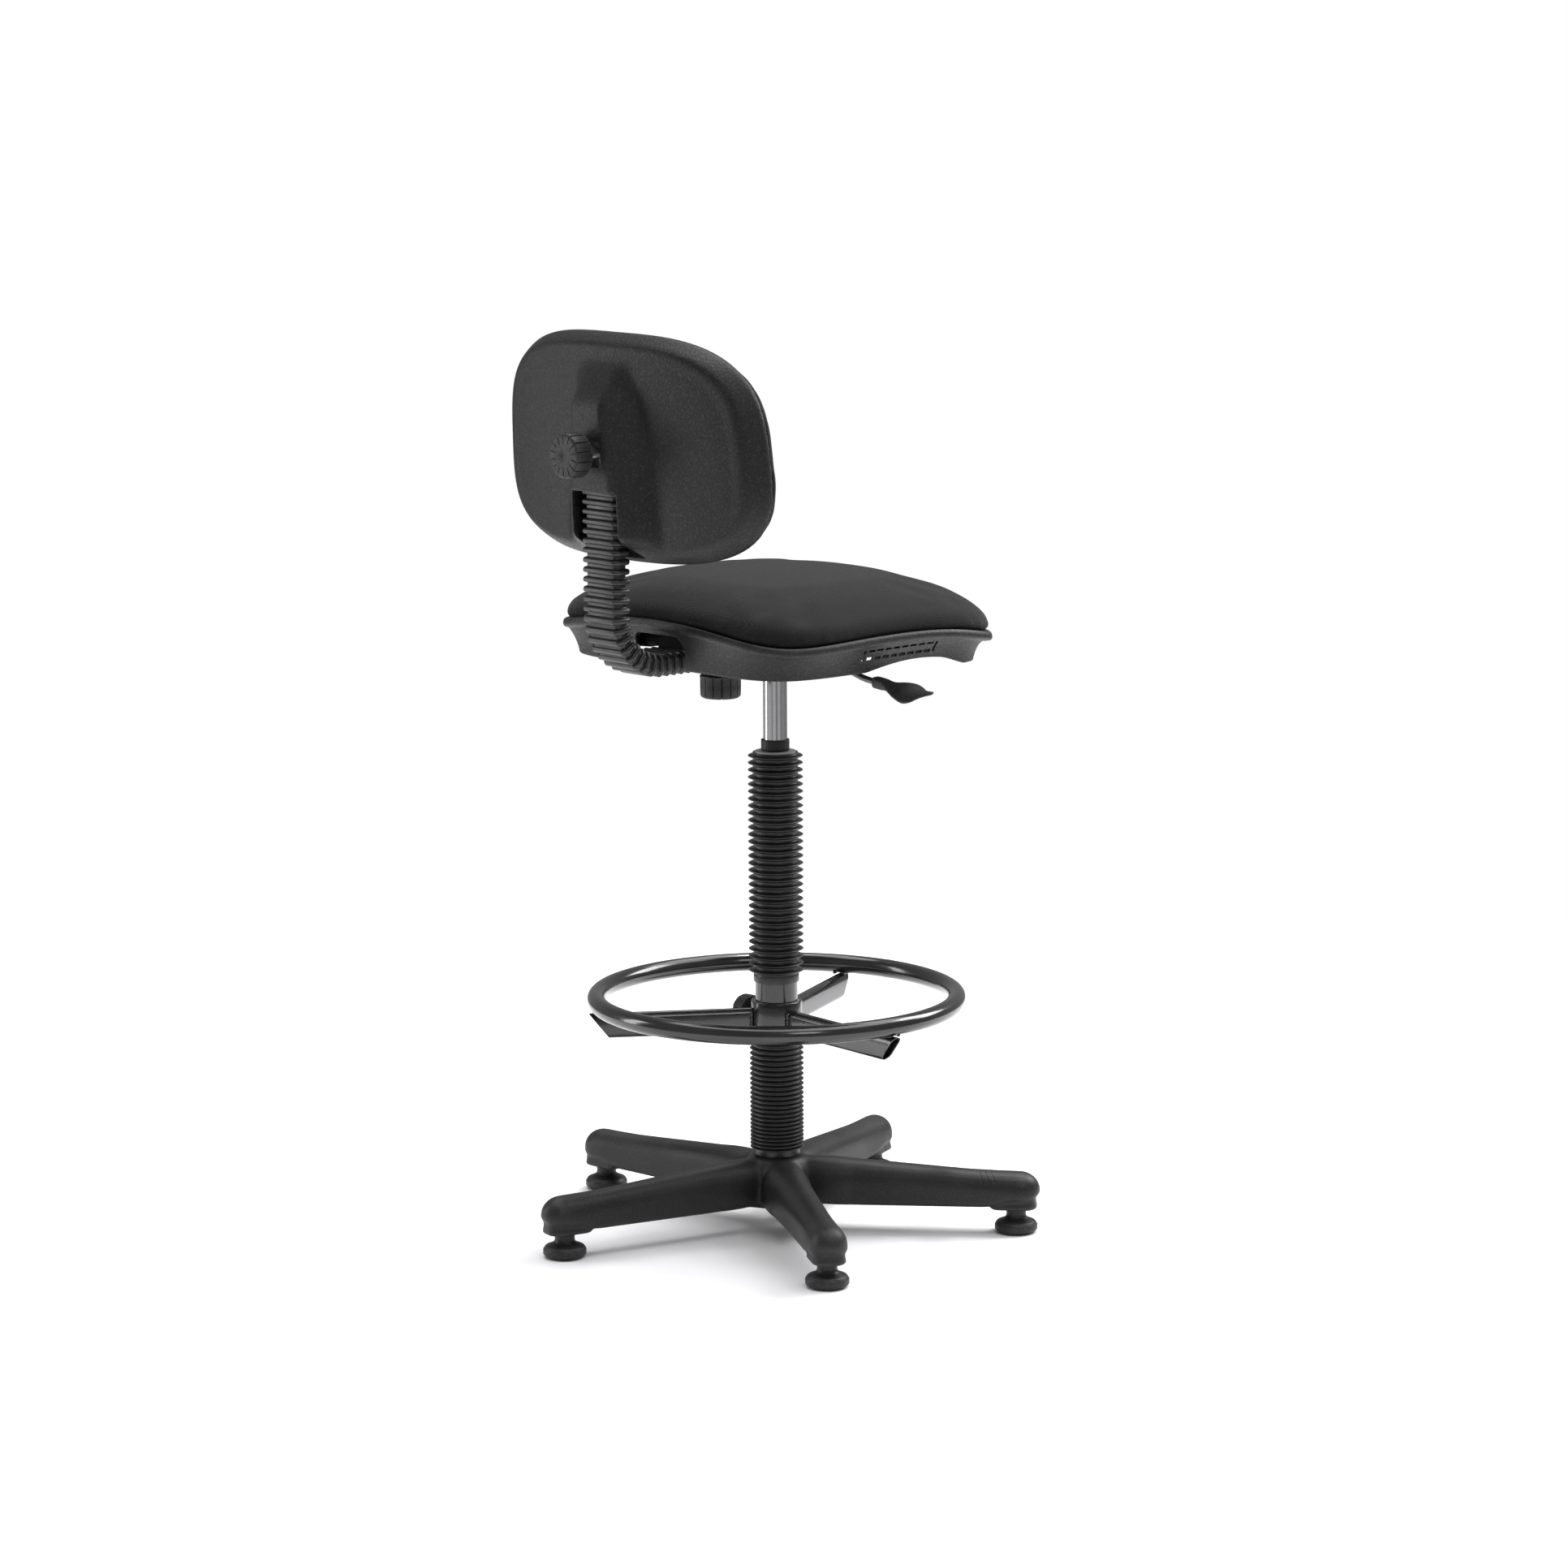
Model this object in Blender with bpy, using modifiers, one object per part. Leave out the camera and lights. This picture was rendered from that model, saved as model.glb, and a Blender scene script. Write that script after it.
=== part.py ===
"""Drafting chair: five-arm base on glides, gas-lift column in ribbed sleeves, height-adjustable
foot ring, seat with a moulded pan, and a backrest that slides on a booted steel bar.

Metres, +Z up. The sitter faces -Y, so the sitter's right is -X. Every sub-part is placed from
the column axis, which stands COLUMN_X, COLUMN_Y from the origin, the middle of the footprint.
"""
import bpy
import bmesh
from math import sin, cos, radians, pi
from mathutils import Matrix, Vector

NAME = "drafting_chair"
GAP = 0.0003                      # clearance between pieces that touch
CORNER_PULL = 0.10                # how far outline points crowd towards rounded corners

# ---- placing -------------------------------------------------------------------------------
COLUMN_X = -0.018
COLUMN_Y = -0.016

# ---- star base -----------------------------------------------------------------------------
ARM_COUNT = 5
ARM_START = radians(58.5)         # first arm, turned from +Y towards -X
ARM_TIP_RADIUS = 0.311
GLIDE_RADIUS = 0.2826             # column axis to glide axis
ARM_BOTTOM = 0.0315
HUB_TOP = 0.0875
HUB_BORE = 0.0256
GLIDE_PAD_RADIUS = 0.0253
GLIDE_STEM_RADIUS = 0.0055
GLIDE_STEM_TOP = 0.052
SOCKET_BOTTOM = 0.0285

# ---- column --------------------------------------------------------------------------------
TUBE_RADIUS = 0.025
TUBE_WALL = 0.002
TUBE_BOTTOM = 0.040
TUBE_TOP = 0.566
COLLAR_TOP = 0.583
CYLINDER_RADIUS = 0.014
CYLINDER_WALL = 0.0018
CYLINDER_BOTTOM = 0.335
CYLINDER_TOP = 0.690
ROD_RADIUS = 0.005
ROD_TOP = 0.545

# ---- ribbed sleeves ------------------------------------------------------------------------
SLEEVE_RIB = 0.032
SLEEVE_VALLEY = 0.0282
SLEEVE_BORE = 0.0260
UPPER_SLEEVE = (0.296, 0.568)
UPPER_RIBS = 31
LOWER_SLEEVE = (0.088, 0.2255)
LOWER_RIBS = 24

# ---- foot ring -----------------------------------------------------------------------------
RING_RADIUS = 0.2116
RING_TUBE = 0.011
RING_HEIGHT = 0.2757
RING_HUB_RADIUS = 0.030
RING_HUB_BORE = 0.027
RING_HUB_BOTTOM = 0.228
RING_HUB_TOP = 0.273
SPOKE_COUNT = 3
SPOKE_START = radians(85.5)       # first spoke, turned from +Y towards -X
SPOKE_WIDTH = 0.015
SPOKE_DEPTH = 0.030
SPOKE_WALL = 0.0018
SPOKE_TOP_REACH = 0.222
SPOKE_BOTTOM_REACH = 0.198
RING_KNOB_ANGLE = radians(-94.5)
RING_KNOB_HEIGHT = 0.252

# ---- seat ----------------------------------------------------------------------------------
SEAT_HALF_WIDTH = 0.208
SEAT_HALF_DEPTH = 0.195
SEAT_CENTRE_Y = -0.004
SEAT_CORNER = 5.0                 # superellipse exponent of the seat outline
RIM_HEIGHT = 0.742                # rim at the middle of the rear edge
RIM_SIDE_DROP = 0.015
RIM_FRONT_DROP = 0.021
RIM_CORNER_DROP = 0.012
CROWN_HEIGHT = 0.784
BOARD_BOTTOM = 0.7063
BOARD_TOP = 0.7163
DECK_TOP = 0.7055
SHELL_WALL = 0.0025
SKIRT_BOTTOM = 0.684              # lower edge of the pan's skirt
SKIRT_FRONT = -0.163              # ahead of this the skirt is cut away to the rim
SKIRT_RAMP = 0.014
SKIRT_ARCH_Y = -0.050             # shallow arch over the lever
SKIRT_ARCH_HALF = 0.080
SKIRT_ARCH_RISE = 0.010

# ---- seat mechanism ------------------------------------------------------------------------
HOUSING_X = 0.075
HOUSING_FRONT = -0.076
HOUSING_REAR = 0.028
HOUSING_TOP = 0.706
HOUSING_BOTTOM = 0.676
PLATE = 0.003
LEVER_PIVOT_X = -0.036
LEVER_PIVOT_Z = 0.6915
PIN_RADIUS = 0.0025
KNOB_Y = 0.0855                   # depth clamp knob, behind the column
GUIDE_FRONT = 0.0325
GUIDE_REAR = 0.112

# ---- back bar and backrest -----------------------------------------------------------------
BAR_WIDTH = 0.036
BAR_THICK = 0.006
BAR_Z = 0.6925                    # middle of the bar's level leg
BAR_Y = 0.258                     # middle of the bar's upright leg
BAR_BEND = 0.060
BAR_FRONT = 0.048
BAR_TOP = 0.990
BOOT_WIDTH = 0.050
BOOT_DEPTH = 0.027
BOOT_START = 0.129
BOOT_TOP = 0.8975
BOOT_RIBS = 30
BACK_HALF_WIDTH = 0.2095
BACK_HALF_HEIGHT = 0.129
BACK_CORNER = 3.2
BACK_TAPER = -0.045               # the outline is wider at its foot
BACK_CENTRE_Z = 0.942
BACK_RIM_Y = 0.2325
BACK_CURVE = 0.750                # plan radius of the backrest
BACK_LEAN = radians(3.6)
BACK_WALL = 0.0030
CLAMP_Z = 0.9375                  # height clamp knob

COLOURS = {
    "moulded": ((0.045, 0.045, 0.047, 1.0), 0.55, 0.0),
    "rubber": ((0.020, 0.020, 0.021, 1.0), 0.50, 0.0),
    "painted": ((0.012, 0.012, 0.013, 1.0), 0.18, 0.0),
    "chrome": ((0.62, 0.63, 0.64, 1.0), 0.25, 1.0),
    "steel": ((0.45, 0.45, 0.46, 1.0), 0.40, 1.0),
    "fabric": ((0.022, 0.022, 0.024, 1.0), 0.95, 0.0),
    "board": ((0.55, 0.42, 0.27, 1.0), 0.70, 0.0),
    "bush": ((0.30, 0.30, 0.31, 1.0), 0.60, 0.0),
}


# ---- scene and object helpers ----------------------------------------------------------------
def clear_scene():
    for item in list(bpy.data.objects):
        bpy.data.objects.remove(item, do_unlink=True)


def new_collection(name):
    group = bpy.data.collections.new(name)
    bpy.context.scene.collection.children.link(group)
    return group


clear_scene()
PARTS = new_collection(NAME)
CUTTERS = new_collection("cutters")


def empty(name, parent=None, location=(0, 0, 0)):
    item = bpy.data.objects.new(name, None)
    item.empty_display_size = 0.03
    item.parent = parent
    item.location = location
    PARTS.objects.link(item)
    return item


def material(name, finish):
    colour, roughness, metallic = COLOURS[finish]
    made = bpy.data.materials.new(name)
    made.use_nodes = True
    shader = made.node_tree.nodes["Principled BSDF"]
    shader.inputs["Base Color"].default_value = colour
    shader.inputs["Roughness"].default_value = roughness
    shader.inputs["Metallic"].default_value = metallic
    made.diffuse_color = colour
    return made


def add_part(name, mesh, finish, parent, smooth_angle=None, location=(0, 0, 0), rotation=(0, 0, 0)):
    """One sub-part, linked, placed under its parent and given its own material."""
    item = bpy.data.objects.new(name, mesh)
    item.parent = parent
    item.location = location
    item.rotation_euler = rotation
    mesh.materials.append(material(name + "_finish", finish))
    if smooth_angle is not None:
        mesh.shade_smooth()
        mesh.set_sharp_from_angle(angle=radians(smooth_angle))
    PARTS.objects.link(item)
    return item


def add_cutter(name, mesh, parent, location=(0, 0, 0), rotation=(0, 0, 0)):
    item = bpy.data.objects.new(name, mesh)
    item.parent = parent
    item.location = location
    item.rotation_euler = rotation
    item.hide_render = True
    item.display_type = "WIRE"
    CUTTERS.objects.link(item)
    return item


def boolean(item, other, operation):
    step = item.modifiers.new(other.name, "BOOLEAN")
    step.object = other
    step.operation = operation
    return step


def cut(item, other):
    return boolean(item, other, "DIFFERENCE")


def unite(item, other):
    return boolean(item, other, "UNION")


# ---- mesh helpers ------------------------------------------------------------------------------
def mesh_from(bm, name):
    bmesh.ops.recalc_face_normals(bm, faces=bm.faces)
    mesh = bpy.data.meshes.new(name)
    bm.to_mesh(mesh)
    bm.free()
    return mesh


def block(name, low, high, bevel=0.0, segments=1):
    """Box between two corners, with its edges rounded when bevel is given."""
    bm = bmesh.new()
    bmesh.ops.create_cube(bm, size=1.0)
    low = Vector(low)
    high = Vector(high)
    size = high - low
    bmesh.ops.scale(bm, vec=size, verts=bm.verts)
    bmesh.ops.translate(bm, vec=(low + high) / 2, verts=bm.verts)
    if bevel > 0.0:
        bmesh.ops.bevel(bm, geom=bm.edges, offset=bevel, segments=segments, affect="EDGES", profile=0.5)
    return mesh_from(bm, name)


def blocks(name, boxes):
    """Several separate boxes in one mesh, for cutters."""
    bm = bmesh.new()
    for low, high in boxes:
        low = Vector(low)
        high = Vector(high)
        made = bmesh.ops.create_cube(bm, size=1.0)
        bmesh.ops.scale(bm, vec=high - low, verts=made["verts"])
        bmesh.ops.translate(bm, vec=(low + high) / 2, verts=made["verts"])
    return mesh_from(bm, name)


def rod(name, start, end, radius, segments=20):
    """Cylinder between two points."""
    bm = bmesh.new()
    start = Vector(start)
    end = Vector(end)
    run = end - start
    made = bmesh.ops.create_cone(bm, cap_ends=True, segments=segments, radius1=radius,
                                 radius2=radius, depth=run.length)
    turn = Vector((0, 0, 1)).rotation_difference(run.normalized()).to_matrix().to_4x4()
    bmesh.ops.transform(bm, matrix=Matrix.Translation((start + end) / 2) @ turn, verts=made["verts"])
    return mesh_from(bm, name)


def turned(name, profile, finish, parent, segments=24, closed=False, **placing):
    """Turned shape about +Z: the profile runs down its outer side, and back up when closed."""
    mesh = bpy.data.meshes.new(name)
    count = len(profile)
    edges = [(i, i + 1) for i in range(count - 1)]
    if closed:
        edges.append((count - 1, 0))
    mesh.from_pydata([(r, 0.0, z) for r, z in profile], edges, [])
    item = add_part(name, mesh, finish, parent, **placing)
    spin = item.modifiers.new("turn", "SCREW")
    spin.axis = "Z"
    spin.steps = segments
    spin.render_steps = segments
    spin.use_merge_vertices = True
    spin.merge_threshold = 0.00001
    spin.use_smooth_shade = True
    return item


def fan_cap(bm, row):
    """Close a ring of vertices with triangles to its middle."""
    middle = Vector((0, 0, 0))
    for vert in row:
        middle += vert.co
    hub = bm.verts.new(middle / len(row))
    for i, vert in enumerate(row):
        bm.faces.new((hub, vert, row[(i + 1) % len(row)]))


def loft(name, rings, close_ends=True):
    """Skin over rings of equal point counts, each ring a list of points."""
    bm = bmesh.new()
    rows = [[bm.verts.new(point) for point in ring] for ring in rings]
    count = len(rows[0])
    for below, above in zip(rows, rows[1:]):
        for i in range(count):
            j = (i + 1) % count
            bm.faces.new((below[i], below[j], above[j], above[i]))
    if close_ends:
        fan_cap(bm, rows[0])
        fan_cap(bm, rows[-1])
    bmesh.ops.triangulate(bm, faces=bm.faces, quad_method="SHORT_EDGE")
    return mesh_from(bm, name)


def superellipse(half_x, half_y, power, count):
    """Rounded rectangle: points at even turns, drawn a little towards the corners."""
    points = []
    for i in range(count):
        turn = 2 * pi * i / count
        angle = turn + CORNER_PULL * sin(4 * turn)
        x = cos(angle)
        y = sin(angle)
        reach = (abs(x) ** power + abs(y) ** power) ** (-1 / power)
        points.append((half_x * x * reach, half_y * y * reach))
    return points


def arc_points(centre, radius, start, end, count):
    """Points on an arc in a plane, angles in degrees."""
    points = []
    for i in range(count + 1):
        angle = radians(start + (end - start) * i / count)
        points.append((centre[0] + radius * cos(angle), centre[1] + radius * sin(angle)))
    return points


def tube_mesh(name, points, radius, cyclic=False, resolution=2):
    """Round bar along a run of points, as a closed mesh."""
    curve = bpy.data.curves.new(name, "CURVE")
    curve.dimensions = "3D"
    curve.bevel_depth = radius
    curve.bevel_resolution = resolution
    curve.use_fill_caps = not cyclic
    line = curve.splines.new("POLY")
    line.points.add(len(points) - 1)
    for place, point in zip(line.points, points):
        place.co = (*point, 1.0)
    line.use_cyclic_u = cyclic
    carrier = bpy.data.objects.new(name + "_curve", curve)
    bpy.context.scene.collection.objects.link(carrier)
    bpy.context.view_layer.update()
    shape = carrier.evaluated_get(bpy.context.evaluated_depsgraph_get())
    mesh = bpy.data.meshes.new_from_object(shape)
    bpy.data.objects.remove(carrier, do_unlink=True)
    bpy.data.curves.remove(curve)
    bm = bmesh.new()
    bm.from_mesh(mesh)
    bmesh.ops.remove_doubles(bm, verts=bm.verts, dist=0.00001)
    bpy.data.meshes.remove(mesh)
    return mesh_from(bm, name)


def turned_from_y(angle, radius, z=0.0):
    """A place at a given turn from +Y towards -X."""
    return Vector((-radius * sin(angle), radius * cos(angle), z))


# ---- frames the moving pieces hang from ---------------------------------------------------------
column = empty("column_axis", None, (COLUMN_X, COLUMN_Y, 0.0))
foot_ring = empty("foot_ring_slide", column)
swivel = empty("seat_swivel_axis", column)
seat = empty("seat_lift_slide", swivel)
lever = empty("lever_axis", seat, (LEVER_PIVOT_X, 0.0, LEVER_PIVOT_Z))
depth_axis = empty("depth_knob_axis", seat, (0.0, KNOB_Y, 0.0))
bar_slide = empty("bar_slide", seat)
back_slide = empty("back_slide", bar_slide)
back_axis = empty("back_knob_axis", back_slide, (0.0, 0.0, CLAMP_Z))
ring_axis = empty("ring_knob_axis", foot_ring, (0.0, 0.0, RING_KNOB_HEIGHT))
ring_axis.rotation_euler = (0.0, 0.0, RING_KNOB_ANGLE)


# ---- star base -----------------------------------------------------------------------------------
def arm_section(reach, half_width, top, bottom):
    """Upright section of an arm: flat below, round above."""
    points = [(-half_width, bottom + 0.004), (-half_width + 0.004, bottom)]
    points += [(half_width - 0.004, bottom), (half_width, bottom + 0.004)]
    shoulder = bottom + 0.45 * (top - bottom)
    points.append((half_width, shoulder))
    steps = 5
    for i in range(1, steps):
        angle = pi * i / steps
        points.append((half_width * cos(angle), shoulder + (top - shoulder) * sin(angle) ** 0.8))
    points.append((-half_width, shoulder))
    return [(reach, y, z) for y, z in points]


def arm_mesh(name):
    stations = [
        (0.016, 0.0180, 0.0860, ARM_BOTTOM + 0.003),
        (0.050, 0.0265, 0.0860, ARM_BOTTOM + 0.001),
        (0.090, 0.0230, 0.0835, ARM_BOTTOM),
        (0.250, 0.0205, 0.0730, ARM_BOTTOM),
        (0.275, 0.0225, 0.0735, ARM_BOTTOM),
        (0.295, 0.0205, 0.0715, ARM_BOTTOM + 0.001),
        (0.307, 0.0135, 0.0655, ARM_BOTTOM + 0.005),
        (ARM_TIP_RADIUS, 0.0050, 0.0560, ARM_BOTTOM + 0.011),
    ]
    return loft(name, [arm_section(*station) for station in stations])


def make_star_base():
    hub_profile = [
        (0.0, HUB_TOP), (0.031, HUB_TOP), (0.034, HUB_TOP - 0.003), (0.037, 0.072),
        (0.042, 0.050), (0.043, ARM_BOTTOM), (0.041, ARM_BOTTOM - 0.002), (0.0, ARM_BOTTOM - 0.002),
    ]
    base = turned("star_base", hub_profile, "moulded", column, segments=30)
    holes = bmesh.new()
    channels = bmesh.new()
    for k in range(ARM_COUNT):
        angle = ARM_START + 2 * pi * k / ARM_COUNT
        along = angle + pi / 2        # arm meshes run along +X
        arm = add_cutter("arm_%d" % (k + 1), arm_mesh("arm"), column, rotation=(0, 0, along))
        unite(base, arm)
        foot = turned_from_y(angle, GLIDE_RADIUS)
        boss = rod("boss", foot + Vector((0, 0, SOCKET_BOTTOM)), foot + Vector((0, 0, 0.060)), 0.0155, 16)
        unite(base, add_cutter("boss_%d" % (k + 1), boss, column))
        hole = bmesh.ops.create_cone(holes, cap_ends=True, segments=16, radius1=GLIDE_STEM_RADIUS + GAP,
                                     radius2=GLIDE_STEM_RADIUS + GAP, depth=0.040)
        middle = foot + Vector((0, 0, GLIDE_STEM_TOP + GAP - 0.020))
        bmesh.ops.translate(holes, vec=middle, verts=hole["verts"])
        channel = bmesh.ops.create_cube(channels, size=1.0)
        bmesh.ops.scale(channels, vec=(0.190, 0.028, 0.048), verts=channel["verts"])
        bmesh.ops.translate(channels, vec=(0.157, 0.0, 0.042), verts=channel["verts"])
        bmesh.ops.rotate(channels, matrix=Matrix.Rotation(along, 3, "Z"), verts=channel["verts"])
    cut(base, add_cutter("glide_holes", mesh_from(holes, "glide_holes"), column))
    cut(base, add_cutter("arm_channels", mesh_from(channels, "arm_channels"), column))
    bore = rod("column_bore", (0, 0, 0.01), (0, 0, 0.12), HUB_BORE, 24)
    cut(base, add_cutter("column_bore", bore, column))
    return base


def make_glides():
    profile = [
        (0.0, GLIDE_STEM_TOP), (GLIDE_STEM_RADIUS, GLIDE_STEM_TOP),
        (GLIDE_STEM_RADIUS, SOCKET_BOTTOM - GAP), (0.0115, SOCKET_BOTTOM - GAP), (0.0115, 0.0170),
        (0.0190, 0.0130), (0.0240, 0.0105), (GLIDE_PAD_RADIUS, 0.0065), (0.0240, 0.0025),
        (0.0205, 0.0), (0.0, 0.0),
    ]
    for k in range(ARM_COUNT):
        place = turned_from_y(ARM_START + 2 * pi * k / ARM_COUNT, GLIDE_RADIUS)
        turned("glide_%d" % (k + 1), profile, "moulded", column, segments=14, location=place)


# ---- column -----------------------------------------------------------------------------------------
def ring_profile(outer, inner, bottom, top):
    return [(outer, top), (outer, bottom), (inner, bottom), (inner, top)]


def make_column():
    inner = TUBE_RADIUS - TUBE_WALL
    turned("column_tube", ring_profile(TUBE_RADIUS, inner, TUBE_BOTTOM, TUBE_TOP), "painted", column,
           closed=True)
    bush_outer = inner - GAP
    bush_inner = CYLINDER_RADIUS + GAP
    turned("guide_bush", [
        (0.0158, COLLAR_TOP), (0.0166, COLLAR_TOP - 0.0012), (0.0166, TUBE_TOP + 0.0035),
        (0.0240, TUBE_TOP + 0.0035), (0.0240, TUBE_TOP + GAP), (bush_outer, TUBE_TOP + GAP),
        (bush_outer, 0.486), (bush_inner, 0.486), (bush_inner, COLLAR_TOP),
    ], "bush", column, closed=True)
    turned("column_floor", ring_profile(inner - GAP, ROD_RADIUS + GAP, 0.050, 0.054), "steel", column,
           closed=True)
    turned("bearing_lower_race", ring_profile(0.0145, 0.0058, 0.0543, 0.0563), "steel", column,
           segments=20, closed=True)
    turned("bearing_cage", [
        (0.0140, 0.0596), (0.0148, 0.0581), (0.0140, 0.0566), (0.0064, 0.0566), (0.0064, 0.0596),
    ], "bush", column, segments=20, closed=True)
    turned("bearing_upper_race", ring_profile(0.0145, 0.0058, 0.0599, 0.0619), "steel", swivel,
           segments=20, closed=True)
    turned("piston_rod", [
        (0.0, ROD_TOP), (0.0044, ROD_TOP), (ROD_RADIUS, ROD_TOP - 0.0008), (ROD_RADIUS, 0.0672),
        (0.0085, 0.0670), (0.0085, 0.0622), (0.0047, 0.0620), (0.0047, 0.0442),
        (0.0040, 0.0432), (0.0, 0.0432),
    ], "chrome", swivel, segments=20)
    turned("piston", ring_profile(CYLINDER_RADIUS - CYLINDER_WALL - GAP, ROD_RADIUS + GAP, 0.524, 0.536),
           "bush", swivel, segments=24, closed=True)
    turned("rod_clip", ring_profile(0.0090, 0.0050, 0.0464, 0.0490), "steel", swivel, segments=20,
           closed=True)


def make_gas_cylinder():
    inner = CYLINDER_RADIUS - CYLINDER_WALL
    turned("gas_cylinder", [
        (0.0132, CYLINDER_TOP), (CYLINDER_RADIUS, 0.660), (CYLINDER_RADIUS, CYLINDER_BOTTOM),
        (inner, CYLINDER_BOTTOM), (inner, 0.640), (0.0046, 0.644), (0.0046, CYLINDER_TOP),
    ], "chrome", seat, closed=True)
    turned("cylinder_gland", ring_profile(inner - GAP, ROD_RADIUS + GAP, 0.337, 0.351), "rubber", seat,
           segments=24, closed=True)
    turned("release_pin", [
        (0.0, 0.6955), (0.0036, 0.6955), (0.0042, 0.6948), (0.0042, 0.6600), (0.0, 0.6600),
    ], "steel", seat, segments=16)


# ---- ribbed sleeves -----------------------------------------------------------------------------------
def sleeve_profile(bottom, top, ribs, cuff, crowding):
    """Outer side from the top down, with sharp ribs, then straight up the bore.

    crowding closes the ribs up towards the foot of the sleeve, as its own weight does."""
    low = bottom + cuff
    span = top - low
    points = [(SLEEVE_VALLEY, top)]
    for i in range(ribs):
        for share, radius in ((0.5, SLEEVE_RIB), (1.0, SLEEVE_VALLEY)):
            t = (i + share) / ribs
            points.append((radius, top - span * (t + crowding * t * (1 - t))))
    points += [(0.0274, bottom), (SLEEVE_BORE, bottom), (SLEEVE_BORE, top)]
    return points


def make_sleeves():
    low, high = UPPER_SLEEVE
    turned("upper_sleeve", sleeve_profile(low, high, UPPER_RIBS, 0.009, 0.0), "rubber", column,
           segments=12, closed=True)
    low, high = LOWER_SLEEVE
    turned("lower_sleeve", sleeve_profile(low, high, LOWER_RIBS, 0.007, 0.22), "rubber", column,
           segments=12, closed=True)


# ---- foot ring ---------------------------------------------------------------------------------------
def stadium(width, depth, count=6):
    """Flat-oval outline, upright, in a plane across the spoke."""
    half = width / 2
    straight = depth / 2 - half
    points = [(x, y + straight) for x, y in arc_points((0, 0), half, 0, 180, count)]
    points += [(x, y - straight) for x, y in arc_points((0, 0), half, 180, 360, count)]
    return points


def make_foot_ring():
    ring = [tuple(turned_from_y(2 * pi * i / 40, RING_RADIUS, RING_HEIGHT)) for i in range(40)]
    add_part("foot_ring", tube_mesh("foot_ring", ring, RING_TUBE, cyclic=True), "painted", foot_ring, 40)
    hub = turned("ring_hub", ring_profile(RING_HUB_RADIUS, RING_HUB_BORE, RING_HUB_BOTTOM, RING_HUB_TOP),
                 "painted", foot_ring, closed=True)
    height = Vector((0, 0, RING_KNOB_HEIGHT))
    boss = rod("clamp_boss", turned_from_y(RING_KNOB_ANGLE, 0.0285) + height,
               turned_from_y(RING_KNOB_ANGLE, 0.0380) + height, 0.0095, 16)
    unite(hub, add_cutter("clamp_boss", boss, foot_ring))
    hole = rod("clamp_hole", turned_from_y(RING_KNOB_ANGLE, 0.020) + height,
               turned_from_y(RING_KNOB_ANGLE, 0.045) + height, 0.0043, 16)
    cut(hub, add_cutter("clamp_hole", hole, foot_ring))
    turned("ring_bush", ring_profile(RING_HUB_BORE - GAP, TUBE_RADIUS + GAP, 0.2265, 0.2725), "bush",
           foot_ring, closed=True)
    spoke_top = RING_HEIGHT - RING_TUBE - GAP
    middle = spoke_top - SPOKE_DEPTH / 2
    outer = stadium(SPOKE_WIDTH, SPOKE_DEPTH)
    inner = stadium(SPOKE_WIDTH - 2 * SPOKE_WALL, SPOKE_DEPTH - 2 * SPOKE_WALL)
    start = RING_HUB_RADIUS + GAP

    def far_end(z):
        share = 0.5 + z / SPOKE_DEPTH
        return SPOKE_BOTTOM_REACH + (SPOKE_TOP_REACH - SPOKE_BOTTOM_REACH) * share

    rings = [
        [(start, y, middle + z) for y, z in outer],
        [(far_end(z), y, middle + z) for y, z in outer],
        [(far_end(z), y, middle + z) for y, z in inner],
        [(start, y, middle + z) for y, z in inner],
    ]
    for k in range(SPOKE_COUNT):
        along = SPOKE_START + 2 * pi * k / SPOKE_COUNT + pi / 2
        mesh = loft("ring_spoke", rings + [rings[0]], close_ends=False)
        bm = bmesh.new()
        bm.from_mesh(mesh)
        bmesh.ops.remove_doubles(bm, verts=bm.verts, dist=0.00001)
        bpy.data.meshes.remove(mesh)
        add_part("ring_spoke_%d" % (k + 1), mesh_from(bm, "ring_spoke"), "painted", foot_ring, 40,
                 rotation=(0, 0, along))


# ---- knobs -------------------------------------------------------------------------------------------
def knob_mesh(name, radius, depth, lobes, stem):
    """Fluted knob along +Z with its face at z = depth; stem lists (radius, z) below the knob."""
    count = lobes * 2

    def ring(scale, z, flute):
        points = []
        for i in range(count):
            angle = 2 * pi * i / count
            dip = flute if i % 2 else 0.0
            r = radius * (scale - dip)
            points.append((r * cos(angle), r * sin(angle), z))
        return points

    def round_ring(r, z):
        return [(r * cos(2 * pi * i / count), r * sin(2 * pi * i / count), z) for i in range(count)]

    rings = [round_ring(r, z) for r, z in stem]
    rings.append(ring(0.90, 0.0, 0.0))
    rings.append(ring(0.98, depth * 0.12, 0.07))
    rings.append(ring(1.00, depth * 0.70, 0.07))
    rings.append(ring(0.88, depth, 0.0))
    return loft(name, rings)


def make_depth_knob():
    """Clamp knob under the seat, hanging from its stem, face down."""
    stem = [(0.0045, -0.0212), (0.0045, -0.0085), (0.0080, -0.0083), (0.0080, 0.0)]
    mesh = knob_mesh("depth_knob", 0.0236, 0.027, 14, stem)
    add_part("depth_knob", mesh, "moulded", depth_axis, 40, location=(0, 0, 0.668), rotation=(pi, 0, 0))


def make_back_knob():
    """Clamp knob behind the backrest, on a stud that presses the bar."""
    stud = BAR_Y + BAR_THICK / 2 + GAP - 0.298
    stem = [(0.0045, stud), (0.0045, -0.004), (0.0095, -0.0038), (0.0095, 0.0)]
    mesh = knob_mesh("back_knob", 0.0258, 0.022, 14, stem)
    add_part("back_knob", mesh, "moulded", back_axis, 40, location=(0, 0.298, 0), rotation=(-pi / 2, 0, 0))


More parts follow.
